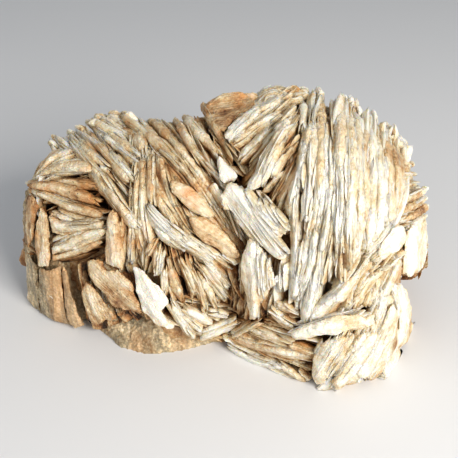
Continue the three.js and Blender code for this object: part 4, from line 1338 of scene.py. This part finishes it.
class BariteForm(bpy.types.PropertyGroup):
    """Sizes of the crystals."""

    groove: size_setting("Groove depth", "How far laths sink between a sheaf's ridges", 2.2)
    ragged: size_setting("Ragged crest", "Depth of the breaks in a lath's crest", 0.5)
    wave: size_setting("Wavy side", "How far a lath wanders sideways", 0.8)
    lumps: size_setting("Lumps", "Size of the lumps on crystal faces", 0.6)
    splinters: bpy.props.FloatProperty(
        name="Splinters", description="Thin splinters on each square millimetre of a sheaf",
        default=0.08,
    )
    seed: bpy.props.IntProperty(
        name="Seed", description="Number that fixes every chance shift", default=7
    )


class BariteColours(bpy.types.PropertyGroup):
    """Colours of the crystals, from white crests with a painted highlight to stained gaps with
    painted shade.
    """

    # White is the crystals' own white and also the painted highlight on their crests.
    white: colour_setting("White", "Clean crystal edges", "#FCF5E7")
    cream: colour_setting("Cream", "Usual crystal faces", "#F1E3C9")
    sand: colour_setting("Sand", "Lightly stained faces", "#DFC8A2")
    tan: colour_setting("Tan", "Stained faces", "#C6A276")
    ochre: colour_setting("Ochre", "Stain between the blades", "#936539")
    # Brown is rust stain deep in the gaps, darkened further as painted shade.
    brown_stain_and_shade: colour_setting("Brown", "Stain deep in the gaps", "#3F2814")
    rust: colour_setting("Rust", "Bright rust patches", "#D69C60")
    shadow: colour_setting("Shadow", "Dull hollows of the massive faces", "#7A6648")
    slab: colour_setting("Slab", "Broken massive faces", "#A29478")
    speck: colour_setting("Speck", "Dark specks", "#3A2C1E")


class BariteStage(bpy.types.PropertyGroup):
    """The floor and lights."""

    floor: colour_setting("Floor", "Colour of the floor", "#D9DADC")
    key: power_setting("Key light", "Power of the large light at the right", 5.2)
    fill: power_setting("Fill light", "Power of the weak light at the left", 0.7)


class BARITE_OT_core(bpy.types.Operator):
    """Build the massive body that the sheaves grow on, with its bare left end and foot"""

    bl_idname = "barite.core"
    bl_label = "Massive body"

    def execute(self, context):
        massive, crystal = kept_material(MASSIVE, context), kept_material(BLADED, context)
        masses = []
        for part in (STATIONS[: WAIST + 1], STATIONS[WAIST:]):
            points = []
            for x, front, back, top in part:
                middle, half = (front + back) / 2, (back - front) / 2
                for k in range(CORE_CORNERS + 1):
                    angle = math.pi * k / CORE_CORNERS
                    level = math.cos(angle)
                    across = abs(level) ** (2 / SQUARENESS) * math.copysign(1, level)
                    up = max(0.0, math.sin(angle)) ** (2 / SQUARENESS)
                    points.append((
                        x * CORE_LENGTH_SHARE, middle + half * CORE_SHARE * across,
                        top * CORE_SHARE * up,
                    ))
            masses.append(hull(points))
        # Each one's meshes, step of the skin, stretch and height of its relief, and material.
        blocks = {"core": (masses, 1.6, 1.0, 1.4, crystal)}
        for name, (stretch, points) in BROKEN_BLOCKS.items():
            blocks[name] = ([hull(points)], 0.8, stretch, 1.5, massive)
        for name, (meshes, step, stretch, amount, material) in blocks.items():
            mesh = remeshed(meshes, step * MM)
            roughen(mesh, (0, 0, 1), stretch, amount)
            mark_recess(mesh)
            mesh.materials.clear()
            mesh.materials.append(material)
            mesh.name = name
            piece_of(mesh, name)
        return {"FINISHED"}


class BARITE_OT_sheaves(bpy.types.Operator):
    """Build the sheaves of laths on the show face, one piece for each region"""

    bl_idname = "barite.sheaves"
    bl_label = "Show face sheaves"

    def execute(self, context):
        form, material = context.scene.barite_form, kept_material(BLADED, context)
        rng = np.random.default_rng(form.seed)
        for region, sheaves in SHEAVES.items():
            laths, splinters = Laths(), Laths()
            for sheaf in sheaves.values():
                crest_at = show_crest(sheaf.first, sheaf.last)
                lay_sheaf(laths, rng, form, sheaf, crest_at)
                lay_splinters(splinters, rng, form, sheaf, crest_at)
            lath_piece(region + "_sheaves", laths, LATH, form, material)
            lath_piece(region + "_splinters", splinters, SPLINTER, form, material)
        return {"FINISHED"}


class BARITE_OT_plates(bpy.types.Operator):
    """Build the broad single crystals on the show face and the faces of the left end"""

    bl_idname = "barite.plates"
    bl_label = "Broad crystals"

    def execute(self, context):
        form, material = context.scene.barite_form, kept_material(BLADED, context)
        for name, plates, stone in (
            ("broad_crystals", PLATES, material),
            ("left_end_faces", SLABS, kept_material(MASSIVE, context)),
        ):
            crystals = []
            for plate in plates.values():
                top = plate.lift + plate.crown
                ends = [on_show_face((*plate.spine[k], top)) for k in (0, -1)]
                crystals.append((plate_shell(plate), ends, plate.tone))
            grown_piece(name, crystals, stone)
        rng = np.random.default_rng(form.seed + 1)
        laths = Laths()
        for name in FIBROUS:
            lay_plate(laths, rng, PLATES[name])
        lath_piece("broad_crystal_laths", laths, SPLINTER, form, material)
        return {"FINISHED"}


class BARITE_OT_blades(bpy.types.Operator):
    """Build the long single crystals on the show face, one piece for each region"""

    bl_idname = "barite.blades"
    bl_label = "Long crystals"

    def execute(self, context):
        form, material = context.scene.barite_form, kept_material(BLADED, context)
        rng = np.random.default_rng(form.seed + 3)
        for region, blades in BLADES.items():
            crystals, laths = [], Laths()
            for blade in blades:
                ends = [on_show_face((*blade.path[k], blade.lifts[k])) for k in (0, -1)]
                shell = blade_shell(rng, blade)
                crystals.append((shell, ends, blade.tone + rng.normal(0, TONE_SPREAD)))
                lay_blade(laths, rng, blade)
            grown_piece(region + "_blades", crystals, material)
            lath_piece(region + "_blade_laths", laths, SPLINTER, form, material)
        return {"FINISHED"}


class BARITE_OT_back(bpy.types.Operator):
    """Build the sheaves on the back, and low laths between them and on both ends"""

    bl_idname = "barite.back"
    bl_label = "Back sheaves"

    def execute(self, context):
        form, material = context.scene.barite_form, kept_material(BLADED, context)
        rng = np.random.default_rng(form.seed + 2)
        laths, splinters, ground = Laths(), Laths(), Laths()
        places = [(around, up) for up in BACK_UP for around in BACK_AROUND]
        for k, (around, up) in enumerate(places):
            crest_at = back_crest(around, up, BACK_NUMBER + k)
            sheaf = Sheaf(3, 3.0, 12, 34, 5, rng.uniform(-0.3, 0.4), None, None)
            lay_sheaf(laths, rng, form, sheaf, crest_at)
            lay_splinters(splinters, rng, form, sheaf, crest_at)
        for k in range(GROUND_PATCHES):
            around, up = rng.uniform(*GROUND_AROUND), rng.uniform(*GROUND_UP)
            crest_at = back_crest(around, up, 2 * BACK_NUMBER + k)
            for _ in range(GROUND_LATHS):
                share, first, run = rng.uniform((0, 0, 0.25), (1, 0.5, 0.5))
                lift = rng.uniform(*GROUND_LIFT)
                crest = [crest_at(share, first + run * t, lift) for t in ALONG]
                if carried(crest):
                    lean = rng.normal(0, GROUND_LEAN)
                    size = (rng.uniform(*GROUND_THICKNESS), GROUND_DEPTH)
                    ground.add(rng, crest, lean, size, rng.normal(0.1, 0.3))
        lath_piece("back_ground", ground, LATH, form, material)
        lath_piece("back_sheaves", laths, LATH, form, material)
        lath_piece("back_splinters", splinters, SPLINTER, form, material)
        return {"FINISHED"}


class BARITE_OT_stage(bpy.types.Operator):
    """Build the pale floor, the soft lights and the camera at the show point"""

    bl_idname = "barite.stage"
    bl_label = "Stage"

    def execute(self, context):
        scene, stage = context.scene, context.scene.barite_stage
        mesh = bpy.data.meshes.new("floor")
        mesh.from_pydata([(-3, -3, 0), (3, -3, 0), (3, 3, 0), (-3, 3, 0)], [], [(0, 1, 2, 3)])
        floor = bpy.data.objects.new("floor", mesh)
        scene.collection.objects.link(floor)
        # Matt paper: pale and even, so that the specimen's shadow is all it shows.
        paper = bpy.data.materials.new("Matt paper floor")
        paper.use_nodes = True
        skin = paper.node_tree.nodes["Principled BSDF"]
        skin.inputs["Base Color"].default_value = stage.floor
        skin.inputs["Roughness"].default_value = 0.8
        mesh.materials.append(paper)
        # Where each light is and how wide, in metres, its power and its tint.
        aim = Vector((0, 0, 0.04))
        lights = (
            ("key", (0.36, -0.5, 0.42), 0.3, stage.key, "#FFFAF3"),
            ("fill", (-0.5, -0.35, 0.35), 0.5, stage.fill, "#FFFFFF"),
        )
        for name, at, size, power, tint in lights:
            lamp = bpy.data.lights.new(name, "AREA")
            lamp.energy, lamp.size, lamp.color = power, size, hexed(tint)[:3]
            light = bpy.data.objects.new(name, lamp)
            light.location = at
            light.rotation_euler = (aim - Vector(at)).to_track_quat("-Z", "Y").to_euler()
            scene.collection.objects.link(light)
        world = bpy.data.worlds.new("soft room")
        world.use_nodes = True
        sky = world.node_tree.nodes["Background"].inputs
        sky["Color"].default_value = hexed("#E7EAED")
        sky["Strength"].default_value = 0.42
        scene.world = world
        lens = bpy.data.cameras.new("camera")
        lens.angle = 2 * math.atan(PIXEL * HALF_PHOTO / SHOW_DISTANCE)
        lens.clip_start = 0.01
        camera = bpy.data.objects.new("camera", lens)
        camera.location = Vector(EYE * MM)
        camera.rotation_euler = Vector(-TO_EYE).to_track_quat("-Z", "Y").to_euler()
        scene.collection.objects.link(camera)
        scene.camera = camera
        scene.view_settings.view_transform = "Standard"
        scene.view_settings.look = "Medium High Contrast"
        return {"FINISHED"}


class BARITE_PT_panel(bpy.types.Panel):
    """Lists the specimen's pieces, sizes and colours"""

    bl_idname = "BARITE_PT_panel"
    bl_label = "Barite specimen"
    bl_space_type = "VIEW_3D"
    bl_region_type = "UI"
    bl_category = "Barite"

    def draw(self, context):
        for operator in OPERATORS:
            self.layout.operator(operator.bl_idname)
        for name in GROUPS:
            group = getattr(context.scene, name)
            for setting in group.__annotations__:
                self.layout.prop(group, setting)


OPERATORS = (
    BARITE_OT_core, BARITE_OT_sheaves, BARITE_OT_plates, BARITE_OT_blades, BARITE_OT_back,
    BARITE_OT_stage,
)
GROUPS = {"barite_form": BariteForm, "barite_colours": BariteColours, "barite_stage": BariteStage}
CLASSES = (*GROUPS.values(), *OPERATORS, BARITE_PT_panel)


def register():
    """Adds the settings, operators and panel to Blender."""
    for part in CLASSES:
        bpy.utils.register_class(part)
    for name, group in GROUPS.items():
        setattr(bpy.types.Scene, name, bpy.props.PointerProperty(type=group))


def unregister():
    """Takes them away again."""
    for name in GROUPS:
        delattr(bpy.types.Scene, name)
    for part in reversed(CLASSES):
        bpy.utils.unregister_class(part)


def main():
    """Builds the specimen and its stage."""
    register()
    bpy.ops.barite.core()
    bpy.ops.barite.sheaves()
    bpy.ops.barite.plates()
    bpy.ops.barite.blades()
    bpy.ops.barite.back()
    bpy.ops.barite.stage()


if __name__ == "__main__":
    main()
